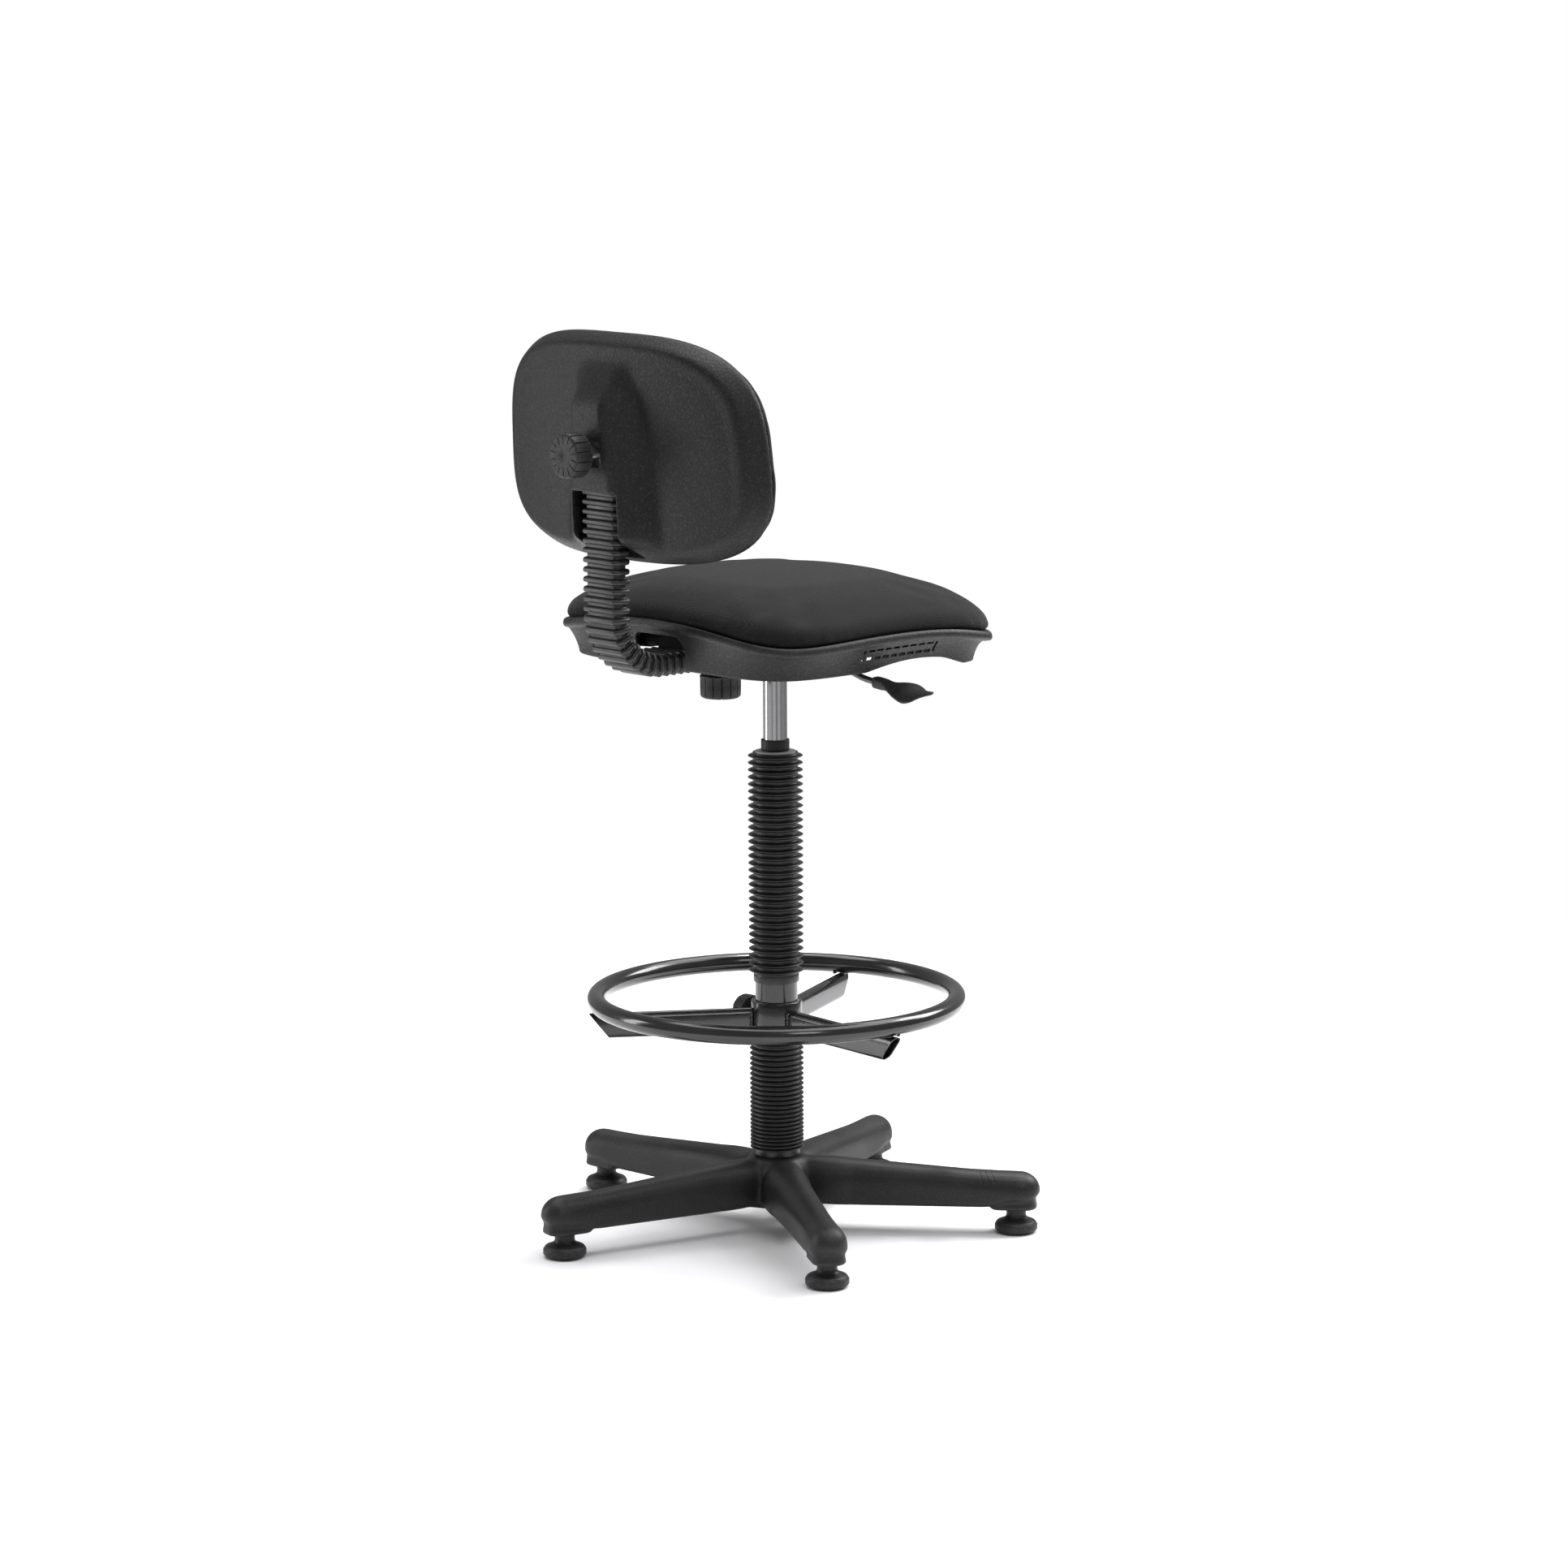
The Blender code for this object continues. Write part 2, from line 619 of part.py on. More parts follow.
def make_ring_knob():
    """Clamp knob of the foot ring, on a stud that presses the column through its bush."""
    stem = [(0.0040, 0.0272 - 0.044), (0.0040, -0.003), (0.0080, -0.0028), (0.0080, 0.0)]
    mesh = knob_mesh("ring_knob", 0.0185, 0.020, 10, stem)
    add_part("ring_knob", mesh, "moulded", ring_axis, 40, location=(0, 0.044, 0), rotation=(-pi / 2, 0, 0))


# ---- seat --------------------------------------------------------------------------------------------
def rim_height(x, y):
    """Height of the pan's rim above the floor at a place on the seat outline."""
    across = min(abs(x) / SEAT_HALF_WIDTH, 1.0)
    along = max(-1.0, min(1.0, (y - SEAT_CENTRE_Y) / SEAT_HALF_DEPTH))
    front = max(-along, 0.0) ** 3
    return (RIM_HEIGHT - RIM_SIDE_DROP * across ** 2 - RIM_FRONT_DROP * front
            - RIM_CORNER_DROP * (across * along) ** 2)


def skirt_bottom(x, y):
    """Lower edge of the pan's skirt: deep behind and beside the sitter, cut away in front."""
    front = rim_height(x, y) - 0.016
    if y < SKIRT_FRONT:
        return front
    if y < SKIRT_FRONT + SKIRT_RAMP:
        share = (y - SKIRT_FRONT) / SKIRT_RAMP
        return front * (1 - share) + SKIRT_BOTTOM * share
    side = abs(x) / SEAT_HALF_WIDTH
    reach = abs(y - SKIRT_ARCH_Y) / SKIRT_ARCH_HALF
    rise = SKIRT_ARCH_RISE * cos(reach * pi / 2) if reach < 1.0 else 0.0
    return SKIRT_BOTTOM + rise * side


def seat_ring(scale, height, lift=0.0, count=48):
    """One ring of the seat outline; height is a function of place, or a level."""
    points = []
    for x, y in superellipse(SEAT_HALF_WIDTH, SEAT_HALF_DEPTH, SEAT_CORNER, count):
        level = height(x, y + SEAT_CENTRE_Y) if callable(height) else height
        points.append((x * scale, y * scale + SEAT_CENTRE_Y, level + lift))
    return points


def make_seat_shell():
    rings = [
        seat_ring(0.52, DECK_TOP),
        seat_ring(0.86, lambda x, y: min(DECK_TOP, rim_height(x, y) - 0.004)),
        seat_ring(0.955, rim_height, -0.006),
        seat_ring(0.985, rim_height, -0.001),
        seat_ring(1.005, rim_height, -0.002),
        seat_ring(1.008, rim_height, -0.009),
        seat_ring(0.972, rim_height, -0.0125),
        seat_ring(0.915, skirt_bottom),
    ]
    mesh = loft("seat_shell", rings, close_ends=False)
    shell = add_part("seat_shell", mesh, "moulded", seat, 35)
    wall = shell.modifiers.new("wall", "SOLIDIFY")
    wall.thickness = SHELL_WALL
    wall.offset = -1.0
    wall.use_even_offset = True
    arch = block("bar_arch", (-0.062, 0.080, 0.640), (0.062, 0.260, 0.719))
    cut(shell, add_cutter("bar_arch", arch, seat))
    slots = []
    for side in (-1, 1):
        for row in range(2):
            for i in range(8):
                y = -0.060 + i * 0.0130
                z = 0.6985 + row * 0.0095
                slots.append(((side * 0.205 - 0.012, y, z), (side * 0.205 + 0.012, y + 0.0088, z + 0.0045)))
    cut(shell, add_cutter("vent_slots", blocks("vent_slots", slots), seat))


def make_seat_soft():
    edges = [seat_ring(0.84, BOARD_BOTTOM, count=32), seat_ring(0.84, BOARD_TOP, count=32)]
    board = loft("seat_board", edges)
    add_part("seat_board", board, "board", seat)

    def crown(share):
        def level(x, y):
            return rim_height(x, y) * (1 - share) + CROWN_HEIGHT * share
        return level

    rings = [
        seat_ring(0.50, BOARD_TOP + 0.0005),
        seat_ring(0.865, lambda x, y: max(BOARD_TOP + 0.0005, rim_height(x, y) + 0.004)),
        seat_ring(0.955, rim_height, 0.0012),
        seat_ring(0.995, rim_height, 0.0090),
        seat_ring(0.990, rim_height, 0.0200),
        seat_ring(0.945, rim_height, 0.0350),
        seat_ring(0.800, crown(0.55), 0.0160),
        seat_ring(0.500, crown(0.88), 0.0040),
        seat_ring(0.200, crown(1.0), 0.0),
    ]
    add_part("seat_cushion", loft("seat_cushion", rings), "fabric", seat, 60)


def make_mechanism():
    case = block("mechanism_housing", (-HOUSING_X, HOUSING_FRONT, HOUSING_BOTTOM),
                 (HOUSING_X, HOUSING_REAR, HOUSING_TOP))
    housing = add_part("mechanism_housing", case, "painted", seat)
    hollow = block("housing_hollow",
                   (-HOUSING_X + PLATE, HOUSING_FRONT + PLATE, HOUSING_BOTTOM - 0.01),
                   (HOUSING_X - PLATE, HOUSING_REAR - PLATE, HOUSING_TOP - PLATE))
    cut(housing, add_cutter("housing_hollow", hollow, seat))
    slot = block("lever_slot", (-HOUSING_X - 0.01, -0.006, 0.6795),
                 (-HOUSING_X + 0.01, 0.006, 0.6995))
    cut(housing, add_cutter("lever_slot", slot, seat))
    inset = PLATE + GAP
    lid = block("cone_socket", (-HOUSING_X + inset, HOUSING_FRONT + inset, 0.6762),
                (HOUSING_X - inset, HOUSING_REAR - inset, 0.6790))
    socket = add_part("cone_socket", lid, "painted", seat)
    sleeve = rod("socket_sleeve", (0, 0, 0.655), (0, 0, 0.6870), 0.0185, 28)
    unite(socket, add_cutter("socket_sleeve", sleeve, seat))
    bore = rod("socket_bore", (0, 0, 0.640), (0, 0, 0.700), CYLINDER_RADIUS + GAP, 28)
    cut(socket, add_cutter("socket_bore", bore, seat))
    yoke = block("lever_bracket", (LEVER_PIVOT_X - 0.009, -0.0125, 0.684),
                 (LEVER_PIVOT_X + 0.009, 0.0125, HOUSING_TOP - PLATE - GAP))
    bracket = add_part("lever_bracket", yoke, "steel", seat)
    gap = block("bracket_gap", (LEVER_PIVOT_X - 0.02, -0.0095, 0.680),
                (LEVER_PIVOT_X + 0.02, 0.0095, 0.7005))
    cut(bracket, add_cutter("bracket_gap", gap, seat))
    pivot = Vector((LEVER_PIVOT_X, 0.0, LEVER_PIVOT_Z))
    across = Vector((0.0, 0.0140, 0.0))
    hole = rod("bracket_hole", pivot - 2 * across, pivot + 2 * across, PIN_RADIUS + GAP, 16)
    cut(bracket, add_cutter("bracket_hole", hole, seat))
    pin = rod("lever_pin", pivot - across, pivot + across, PIN_RADIUS, 16)
    add_part("lever_pin", pin, "steel", seat, 40)
    sleeve = block("bar_guide", (-0.030, GUIDE_FRONT, 0.6795), (0.030, GUIDE_REAR, 0.7060))
    guide = add_part("bar_guide", sleeve, "painted", seat)
    half = BAR_WIDTH / 2 + 0.0004
    tall = BAR_THICK / 2 + 0.0004
    tunnel = block("guide_tunnel", (-half, GUIDE_FRONT - 0.01, BAR_Z - tall),
                   (half, GUIDE_REAR + 0.01, BAR_Z + tall))
    cut(guide, add_cutter("guide_tunnel", tunnel, seat))
    stud = rod("guide_thread", (0, KNOB_Y, 0.670), (0, KNOB_Y, 0.690), 0.0048, 16)
    cut(guide, add_cutter("guide_thread", stud, seat))
    screw = [(0.0, 0.7145), (0.0024, 0.7140), (0.0024, 0.7028), (0.0052, 0.7026),
             (0.0048, 0.7000), (0.0, 0.6995)]
    for k, (x, y) in enumerate(((-0.066, -0.060), (0.066, -0.060), (-0.066, 0.012), (0.066, 0.012))):
        turned("seat_screw_%d" % (k + 1), screw, "steel", seat, segments=14, location=(x, y, 0))
        well = rod("screw_well_%d" % (k + 1), (x, y, 0.690), (x, y, 0.7150), 0.0027, 14)
        well_cutter = add_cutter("screw_well_%d" % (k + 1), well, seat)
        cut(housing, well_cutter)
        cut(bpy.data.objects["seat_board"], well_cutter)


def make_lever():
    """Height release lever: an inner blade over the release pin, a boss on the pin, a rod and a paddle."""
    route = [(-0.002, 0, 0.0035), (-0.016, 0, -0.0010), (-0.045, 0, -0.0035), (-0.075, 0, -0.0085),
             (-0.095, 0, -0.0150), (-0.115, 0, -0.0195), (-0.134, 0, -0.0215)]
    item = add_part("lever_rod", tube_mesh("lever_rod", route, 0.0037), "painted", lever, 40)
    boss = rod("lever_boss", (0, -0.0085, 0), (0, 0.0085, 0), 0.0062, 20)
    unite(item, add_cutter("lever_boss", boss, lever))
    blade = block("lever_blade", (0.0, -0.0050, 0.0042), (0.0410, 0.0050, 0.0066))
    unite(item, add_cutter("lever_blade", blade, lever))
    web = block("lever_web", (-0.0040, -0.0045, 0.0), (0.0060, 0.0045, 0.0066))
    unite(item, add_cutter("lever_web", web, lever))
    hole = rod("lever_hole", (0, -0.02, 0), (0, 0.02, 0), PIN_RADIUS + GAP, 16)
    cut(item, add_cutter("lever_hole", hole, lever))

    def paddle_ring(x, half, thick, z, twist):
        points = []
        for a, b in superellipse(half, thick, 2.5, 16):
            across = a * cos(twist) - b * sin(twist)
            rise = a * sin(twist) + b * cos(twist)
            points.append((x, across, z + rise))
        return points

    stations = [
        (-0.1345 - GAP, 0.0052, 0.0052, -0.0216, 0.0), (-0.1460, 0.0064, 0.0058, -0.0225, 0.0),
        (-0.1560, 0.0095, 0.0046, -0.0240, -0.35), (-0.1750, 0.0150, 0.0034, -0.0275, -0.60),
        (-0.1960, 0.0140, 0.0030, -0.0300, -0.55), (-0.2120, 0.0085, 0.0026, -0.0290, -0.40),
        (-0.2240, 0.0035, 0.0018, -0.0275, -0.30),
    ]
    add_part("lever_handle", loft("lever_handle", [paddle_ring(*s) for s in stations]), "moulded", lever, 50)


# ---- back bar and boot -----------------------------------------------------------------------------------
def bend_place(angle):
    """Place and direction on the bar's quarter bend, from level at 0 to upright at a quarter turn."""
    y = BAR_Y - BAR_BEND + BAR_BEND * sin(angle)
    z = BAR_Z + BAR_BEND * (1 - cos(angle))
    return (y, z), angle


def bar_route(start, top, steps):
    """Places and directions along the middle of the bar: level, then a quarter bend, then upright."""
    path = [((start, BAR_Z), 0.0), ((BAR_Y - BAR_BEND, BAR_Z), 0.0)]
    for i in range(1, steps):
        path.append(bend_place((pi / 2) * i / steps))
    path += [((BAR_Y, BAR_Z + BAR_BEND), pi / 2), ((BAR_Y, top), pi / 2)]
    return path


def cross_ring(place, angle, half_x, half_t, chamfer):
    """Rectangular section across the bar's run, with cut corners."""
    corners = [
        (half_x, half_t - chamfer), (half_x - chamfer, half_t), (-half_x + chamfer, half_t),
        (-half_x, half_t - chamfer), (-half_x, -half_t + chamfer), (-half_x + chamfer, -half_t),
        (half_x - chamfer, -half_t), (half_x, -half_t + chamfer),
    ]
    y, z = place
    return [(x, y - t * sin(angle), z + t * cos(angle)) for x, t in corners]


def make_back_bar():
    rings = [cross_ring(place, angle, BAR_WIDTH / 2, BAR_THICK / 2, 0.0008)
             for place, angle in bar_route(BAR_FRONT, BAR_TOP, 8)]
    add_part("back_bar", loft("back_bar", rings), "painted", bar_slide, 30)


def make_bar_boot():
    """Ribbed rubber boot over the bar: outer skin of ribs, inner skin plain, both ends open."""
    level = BAR_Y - BAR_BEND - BOOT_START
    bend = BAR_BEND * pi / 2
    upright = BOOT_TOP - BAR_Z - BAR_BEND
    total = level + bend + upright

    def at(distance):
        if distance < level:
            return (BOOT_START + distance, BAR_Z), 0.0
        if distance < level + bend:
            return bend_place((distance - level) / BAR_BEND)
        return (BAR_Y, BAR_Z + BAR_BEND + distance - level - bend), pi / 2

    outer = []
    for i in range(2 * BOOT_RIBS + 1):
        proud = 0.0 if i % 2 else 0.0045
        place, angle = at(total * i / (2 * BOOT_RIBS))
        outer.append(cross_ring(place, angle, BOOT_WIDTH / 2 - proud, BOOT_DEPTH / 2 - proud,
                                0.006 - proud / 3))
    inner = []
    for i in range(16, -1, -1):
        place, angle = at(total * i / 16)
        inner.append(cross_ring(place, angle, BAR_WIDTH / 2 + 0.0008, BAR_THICK / 2 + 0.0025, 0.0015))
    mesh = loft("bar_boot", outer + inner + [outer[0]], close_ends=False)
    bm = bmesh.new()
    bm.from_mesh(mesh)
    bmesh.ops.remove_doubles(bm, verts=bm.verts, dist=0.00001)
    bpy.data.meshes.remove(mesh)
    add_part("bar_boot", mesh_from(bm, "bar_boot"), "rubber", bar_slide, 30)


# ---- backrest --------------------------------------------------------------------------------------------
def back_point(x, z, depth):
    """A place on the backrest: x across, z up its own face, depth behind its rim surface."""
    y = BACK_RIM_Y - x * x / (2 * BACK_CURVE) + depth
    return (x, y + z * sin(BACK_LEAN), BACK_CENTRE_Z + z * cos(BACK_LEAN))


def back_ring(scale, depth, count=44):
    points = []
    for x, z in superellipse(BACK_HALF_WIDTH, BACK_HALF_HEIGHT, BACK_CORNER, count):
        x = x * (1 + BACK_TAPER * z / BACK_HALF_HEIGHT) * scale
        z = z * scale
        level = depth(x, z) if callable(depth) else depth
        points.append(back_point(x, z, level))
    return points


def smooth(low, high, value):
    t = max(0.0, min(1.0, (value - low) / (high - low)))
    return t * t * (3 - 2 * t)


def rib_depth(x, z):
    """Raised middle of the backrest shell, wider towards its foot."""
    half = 0.050 + 0.032 * smooth(0.100, -0.110, z)
    across = 1.0 - smooth(half * 0.45, half, abs(x))
    height = 0.029 - 0.006 * smooth(0.0, -0.12, z)
    return height * across * (1.0 - smooth(0.080, 0.118, z))


def make_back_shell():
    def behind(base):
        return lambda x, z: base + rib_depth(x, z)
    rings = [
        back_ring(0.990, -0.003),
        back_ring(1.000, 0.003),
        back_ring(0.985, 0.010),
        back_ring(0.945, 0.0185),
        back_ring(0.870, behind(0.0225)),
        back_ring(0.760, behind(0.0240)),
        back_ring(0.640, behind(0.0248)),
        back_ring(0.500, behind(0.0252)),
        back_ring(0.340, behind(0.0255)),
        back_ring(0.170, behind(0.0258)),
    ]
    def inner(ring):
        return [(x, y - BACK_WALL, z) for x, y, z in ring]

    rings = [inner(ring) for ring in rings[:1:-1]] + [rings[0], rings[1]] + rings[2:]
    shell = add_part("back_shell", loft("back_shell", rings), "moulded", back_slide, 35)
    notch = block("boot_notch", (-0.0312, 0.2352, 0.7810), (0.0312, 0.3310, 0.8937))
    cut(shell, add_cutter("boot_notch", notch, back_slide))
    slot = block("stud_slot", (-0.013, 0.262, CLAMP_Z - 0.014), (0.013, 0.330, CLAMP_Z + 0.014))
    cut(shell, add_cutter("stud_slot", slot, back_slide))


def make_back_soft():
    front = [back_ring(scale, -0.0030) for scale in (0.25, 0.55, 0.90)]
    rear = [back_ring(scale, 0.0076) for scale in (0.90, 0.55, 0.25)]
    add_part("back_board", loft("back_board", front + rear), "board", back_slide)
    rings = [back_ring(scale, -0.0036) for scale in (0.25, 0.55, 0.90)]
    rings += [
        back_ring(0.970, -0.0060),
        back_ring(0.975, -0.0110),
        back_ring(0.945, -0.0200),
        back_ring(0.860, -0.0290),
        back_ring(0.660, -0.0370),
        back_ring(0.330, -0.0410),
    ]
    add_part("back_cushion", loft("back_cushion", rings), "fabric", back_slide, 60)


def make_carriage():
    """Slide block screwed behind the backrest board, with the bar running through it."""
    low = 0.903
    high = 0.978
    item = add_part("back_carriage", block("back_carriage", (-0.030, 0.2465, low), (0.030, 0.2695, high)),
                    "bush", back_slide)
    half = BAR_WIDTH / 2 + 0.0004
    tall = BAR_THICK / 2 + 0.0004
    tunnel = block("carriage_tunnel", (-half, BAR_Y - tall, low - 0.01), (half, BAR_Y + tall, high + 0.01))
    cut(item, add_cutter("carriage_tunnel", tunnel, back_slide))
    stud = rod("carriage_thread", (0, BAR_Y, CLAMP_Z), (0, 0.290, CLAMP_Z), 0.0049, 16)
    cut(item, add_cutter("carriage_thread", stud, back_slide))
    backing = block("carriage_plate", (-0.045, 0.2430, 0.898), (0.045, 0.2462, 0.983))
    plate = add_part("carriage_plate", backing, "steel", back_slide)
    profile = [(0.0, 0.0110), (0.0022, 0.0110), (0.0022, 0.0004), (0.0048, 0.0002),
               (0.0044, -0.0026), (0.0, -0.0030)]
    for k, (x, z) in enumerate(((-0.038, 0.906), (0.038, 0.906), (-0.038, 0.975), (0.038, 0.975))):
        turned("back_screw_%d" % (k + 1), profile, "steel", back_slide, segments=14,
               location=(x, 0.2466, z), rotation=(pi / 2, 0, 0))
        well = rod("back_well_%d" % (k + 1), (x, 0.2350, z), (x, 0.2500, z), 0.0026, 14)
        cutter = add_cutter("back_well_%d" % (k + 1), well, back_slide)
        cut(plate, cutter)
        cut(bpy.data.objects["back_board"], cutter)


make_star_base()
make_glides()
make_column()
make_gas_cylinder()
make_sleeves()
make_foot_ring()
make_depth_knob()
make_back_knob()
make_ring_knob()
make_seat_shell()
make_seat_soft()
make_mechanism()
make_lever()
make_back_bar()
make_bar_boot()
make_back_shell()
make_back_soft()
make_carriage()
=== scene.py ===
"""Looks of the drafting chair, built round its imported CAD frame.

Metres, +Z up. The sitter faces -Y. Shapes are made about the column axis and then moved to it.
"""

from math import acos, atan2, cos, hypot, pi, radians, sin, tan

import bmesh
import bpy
import numpy as np
from mathutils import Matrix, Vector


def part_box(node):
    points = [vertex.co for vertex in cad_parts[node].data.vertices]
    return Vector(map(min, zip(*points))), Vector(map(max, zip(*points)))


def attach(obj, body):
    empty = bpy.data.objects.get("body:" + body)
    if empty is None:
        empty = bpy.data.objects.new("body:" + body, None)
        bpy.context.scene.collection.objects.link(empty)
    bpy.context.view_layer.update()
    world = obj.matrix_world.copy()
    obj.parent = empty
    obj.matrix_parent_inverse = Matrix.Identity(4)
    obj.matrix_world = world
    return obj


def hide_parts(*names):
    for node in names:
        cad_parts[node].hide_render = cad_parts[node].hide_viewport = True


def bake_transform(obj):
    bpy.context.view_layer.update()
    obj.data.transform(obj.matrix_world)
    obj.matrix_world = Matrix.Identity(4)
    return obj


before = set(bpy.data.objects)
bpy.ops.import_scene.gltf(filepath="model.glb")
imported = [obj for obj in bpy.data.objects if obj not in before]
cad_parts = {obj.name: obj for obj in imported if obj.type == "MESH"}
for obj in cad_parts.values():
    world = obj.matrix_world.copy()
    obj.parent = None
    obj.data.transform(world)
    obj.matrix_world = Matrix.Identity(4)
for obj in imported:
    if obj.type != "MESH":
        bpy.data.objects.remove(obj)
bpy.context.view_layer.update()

# ---- places read from the frame ----
TUBE_LOW, TUBE_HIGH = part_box("column_tube")
AXIS = np.array([(TUBE_LOW.x + TUBE_HIGH.x) / 2, (TUBE_LOW.y + TUBE_HIGH.y) / 2, 0.0])
UP = np.array((0, 0, 1))


def extent(node):
    """Lowest and highest corner of a CAD node, measured from the column axis."""
    low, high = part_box(node)
    return np.array(low) - AXIS, np.array(high) - AXIS


def heights(node):
    """Lowest and highest level of a CAD node."""
    low, high = extent(node)
    return low[2], high[2]


TUBE_RADIUS = extent("column_tube")[1][0]
TUBE_BOTTOM, TUBE_TOP = TUBE_LOW.z, TUBE_HIGH.z
COLLAR_TOP = heights("guide_bush")[1]
CYLINDER_RADIUS = extent("gas_cylinder")[1][0]
CYLINDER_BOTTOM, CYLINDER_TOP = heights("gas_cylinder")
UPPER_FOOT, UPPER_HEAD = heights("upper_sleeve")
LOWER_FOOT, LOWER_HEAD = heights("lower_sleeve")
HUB_FOOT, HUB_HEAD = heights("ring_hub")
RING_LOW, RING_HIGH = heights("foot_ring")
RING_TUBE = (RING_HIGH - RING_LOW) / 2
RING_HEIGHT = (RING_HIGH + RING_LOW) / 2
RING_RADIUS = extent("foot_ring")[1][1] - RING_TUBE
GLIDE_MIDDLE = (extent("glide_1")[0] + extent("glide_1")[1]) / 2
GLIDE_RADIUS = hypot(GLIDE_MIDDLE[0], GLIDE_MIDDLE[1])
ARM_START = atan2(-GLIDE_MIDDLE[0], GLIDE_MIDDLE[1])      # turned from +Y towards -X

# ---- sizes that the CAD shares ----
BUSH_BORE = 0.0143
BUSH_FOOT = 0.486
CYLINDER_SHOULDER = 0.660
SLEEVE_BORE = 0.0254

ARM_COUNT = 5
ARM_TIP_RADIUS = 0.311
ARM_BOTTOM = 0.0315
BOSS_BOTTOM = 0.0285
HUB_TOP = 0.0875
HUB_BORE = 0.0256
CHANNEL_HALF = 0.0145
GLIDE_HOLE = 0.0057
RING_KNOB_ANGLE = radians(-94.5)
RING_KNOB_HEIGHT = 0.252
RING_KNOB_REACH = 0.044

SEAT_HALF_WIDTH = 0.208
SEAT_HALF_DEPTH = 0.195
SEAT_CENTRE_Y = -0.004
SEAT_CORNER = 5.0
RIM_HEIGHT = 0.742
RIM_SIDE_DROP = 0.015
RIM_FRONT_DROP = 0.021
RIM_CORNER_DROP = 0.012
CROWN_HEIGHT = 0.784
DECK_TOP = 0.7055
SKIRT_BOTTOM = 0.684
SKIRT_FRONT = -0.150
SKIRT_RAMP = 0.012
SKIRT_ARCH_Y = -0.044
SKIRT_ARCH_HALF = 0.080
SKIRT_ARCH_RISE = 0.0095
SKIRT_FOOT = 0.006
WALL = 0.0026
ARCH_HALF = 0.041
ARCH_TOP = 0.7240
VENT_X = 0.198
VENT_START = -0.0625
VENT_STEP = 0.0132
VENT_COUNT = 8
VENT_LOW = 0.6988

BAR_Z = 0.6925
BAR_Y = 0.258
BAR_BEND = 0.060
BOOT_START = 0.129
BOOT_TOP = 0.8975
BOOT_HALF_WIDTH = 0.031
BOOT_HALF_DEPTH = 0.0135

BACK_HALF_WIDTH = 0.2095
BACK_HALF_HEIGHT = 0.129
BACK_CORNER = 3.2
BACK_TAPER = -0.045
BACK_CENTRE_Z = 0.942
BACK_RIM_Y = 0.2325
BACK_CURVE = 0.750
BACK_LEAN = radians(3.6)
CLAMP_Z = 0.9375
CREST = 0.031
NOTCH_HALF = 0.0370
SHELL_WALL = 0.0030


# ---- small mathematics ----
def unit(vector):
    return vector / np.linalg.norm(vector)


def ease(low, high, value):
    t = np.clip((np.asarray(value, float) - low) / (high - low), 0.0, 1.0)
    return t * t * (3 - 2 * t)


def spline(points, count):
    """Points on a smooth curve through the given ones."""
    p = np.array(points, float)
    p = np.vstack([2 * p[0] - p[1], p, 2 * p[-1] - p[-2]])
    out = []
    for i in range(1, len(p) - 2):
        for k in range(count):
            t = k / count
            a, b, c, d = p[i - 1:i + 3]
            out.append(0.5 * (2 * b + (c - a) * t + (2 * a - 5 * b + 4 * c - d) * t ** 2
                              + (3 * b - a - 3 * c + d) * t ** 3))
    out.append(p[-2])
    return np.array(out)


def rounded(corners, closed=False, steps=5):
    """Line through corners, each (x, y, radius), with the corners rounded."""
    out = []
    count = len(corners)
    for i, (x, y, radius) in enumerate(corners):
        here = np.array((x, y))
        if radius <= 0 or (not closed and i in (0, count - 1)):
            out.append((x, y))
            continue
        before = np.array(corners[i - 1][:2]) - here
        after = np.array(corners[(i + 1) % count][:2]) - here
        u, v = unit(before), unit(after)
        half = acos(max(-1.0, min(1.0, float(u @ v)))) / 2
        reach = min(radius / tan(half), 0.49 * np.linalg.norm(before), 0.49 * np.linalg.norm(after))
        middle = here + unit(u + v) * reach / cos(half)
        start, end = here + u * reach - middle, here + v * reach - middle
        first = atan2(start[1], start[0])
        turn = (atan2(end[1], end[0]) - first + pi) % (2 * pi) - pi
        size = np.linalg.norm(start)
        for k in range(steps + 1):
            angle = first + turn * k / steps
            out.append((middle[0] + size * cos(angle), middle[1] + size * sin(angle)))
    return out


def outline(half_x, half_y, power, count, pull=0.10):
    """Rounded rectangle, with its points drawn a little towards the corners."""
    turn = 2 * pi * np.arange(count) / count
    angle = turn + pull * np.sin(4 * turn)
    x, y = np.cos(angle), np.sin(angle)
    reach = (np.abs(x) ** power + np.abs(y) ** power) ** (-1 / power)
    return np.column_stack([half_x * x * reach, half_y * y * reach])


def outward(line):
    """Unit normals of a closed plane outline that runs anticlockwise."""
    along = np.roll(line, -1, axis=0) - np.roll(line, 1, axis=0)
    normal = np.column_stack([along[:, 1], -along[:, 0]])
    return normal / np.linalg.norm(normal, axis=1)[:, None]


def turned_from_y(angle, radius, z=0.0):
    return np.array([-radius * sin(angle), radius * cos(angle), z])


# ---- shapes: pairs of points and faces ----
def skin(rings, ends="fan"):
    """Surface over rings of equal point counts: ends "fan" closes both ends, "loop" joins the last
    ring to the first."""
    rings = [np.asarray(ring, float) for ring in rings]
    count = len(rings[0])
    points = np.vstack(rings)
    faces = []
    pairs = [(i, i + 1) for i in range(len(rings) - 1)]
    if ends == "loop":
        pairs.append((len(rings) - 1, 0))
    for a, b in pairs:
        for i in range(count):
            j = (i + 1) % count
            faces.append((a * count + i, a * count + j, b * count + j, b * count + i))
    if ends == "fan":
        for row in (0, len(rings) - 1):
            hub = len(points)
            points = np.vstack([points, rings[row].mean(axis=0)])
            for i in range(count):
                faces.append((hub, row * count + i, row * count + (i + 1) % count))
    return points, faces


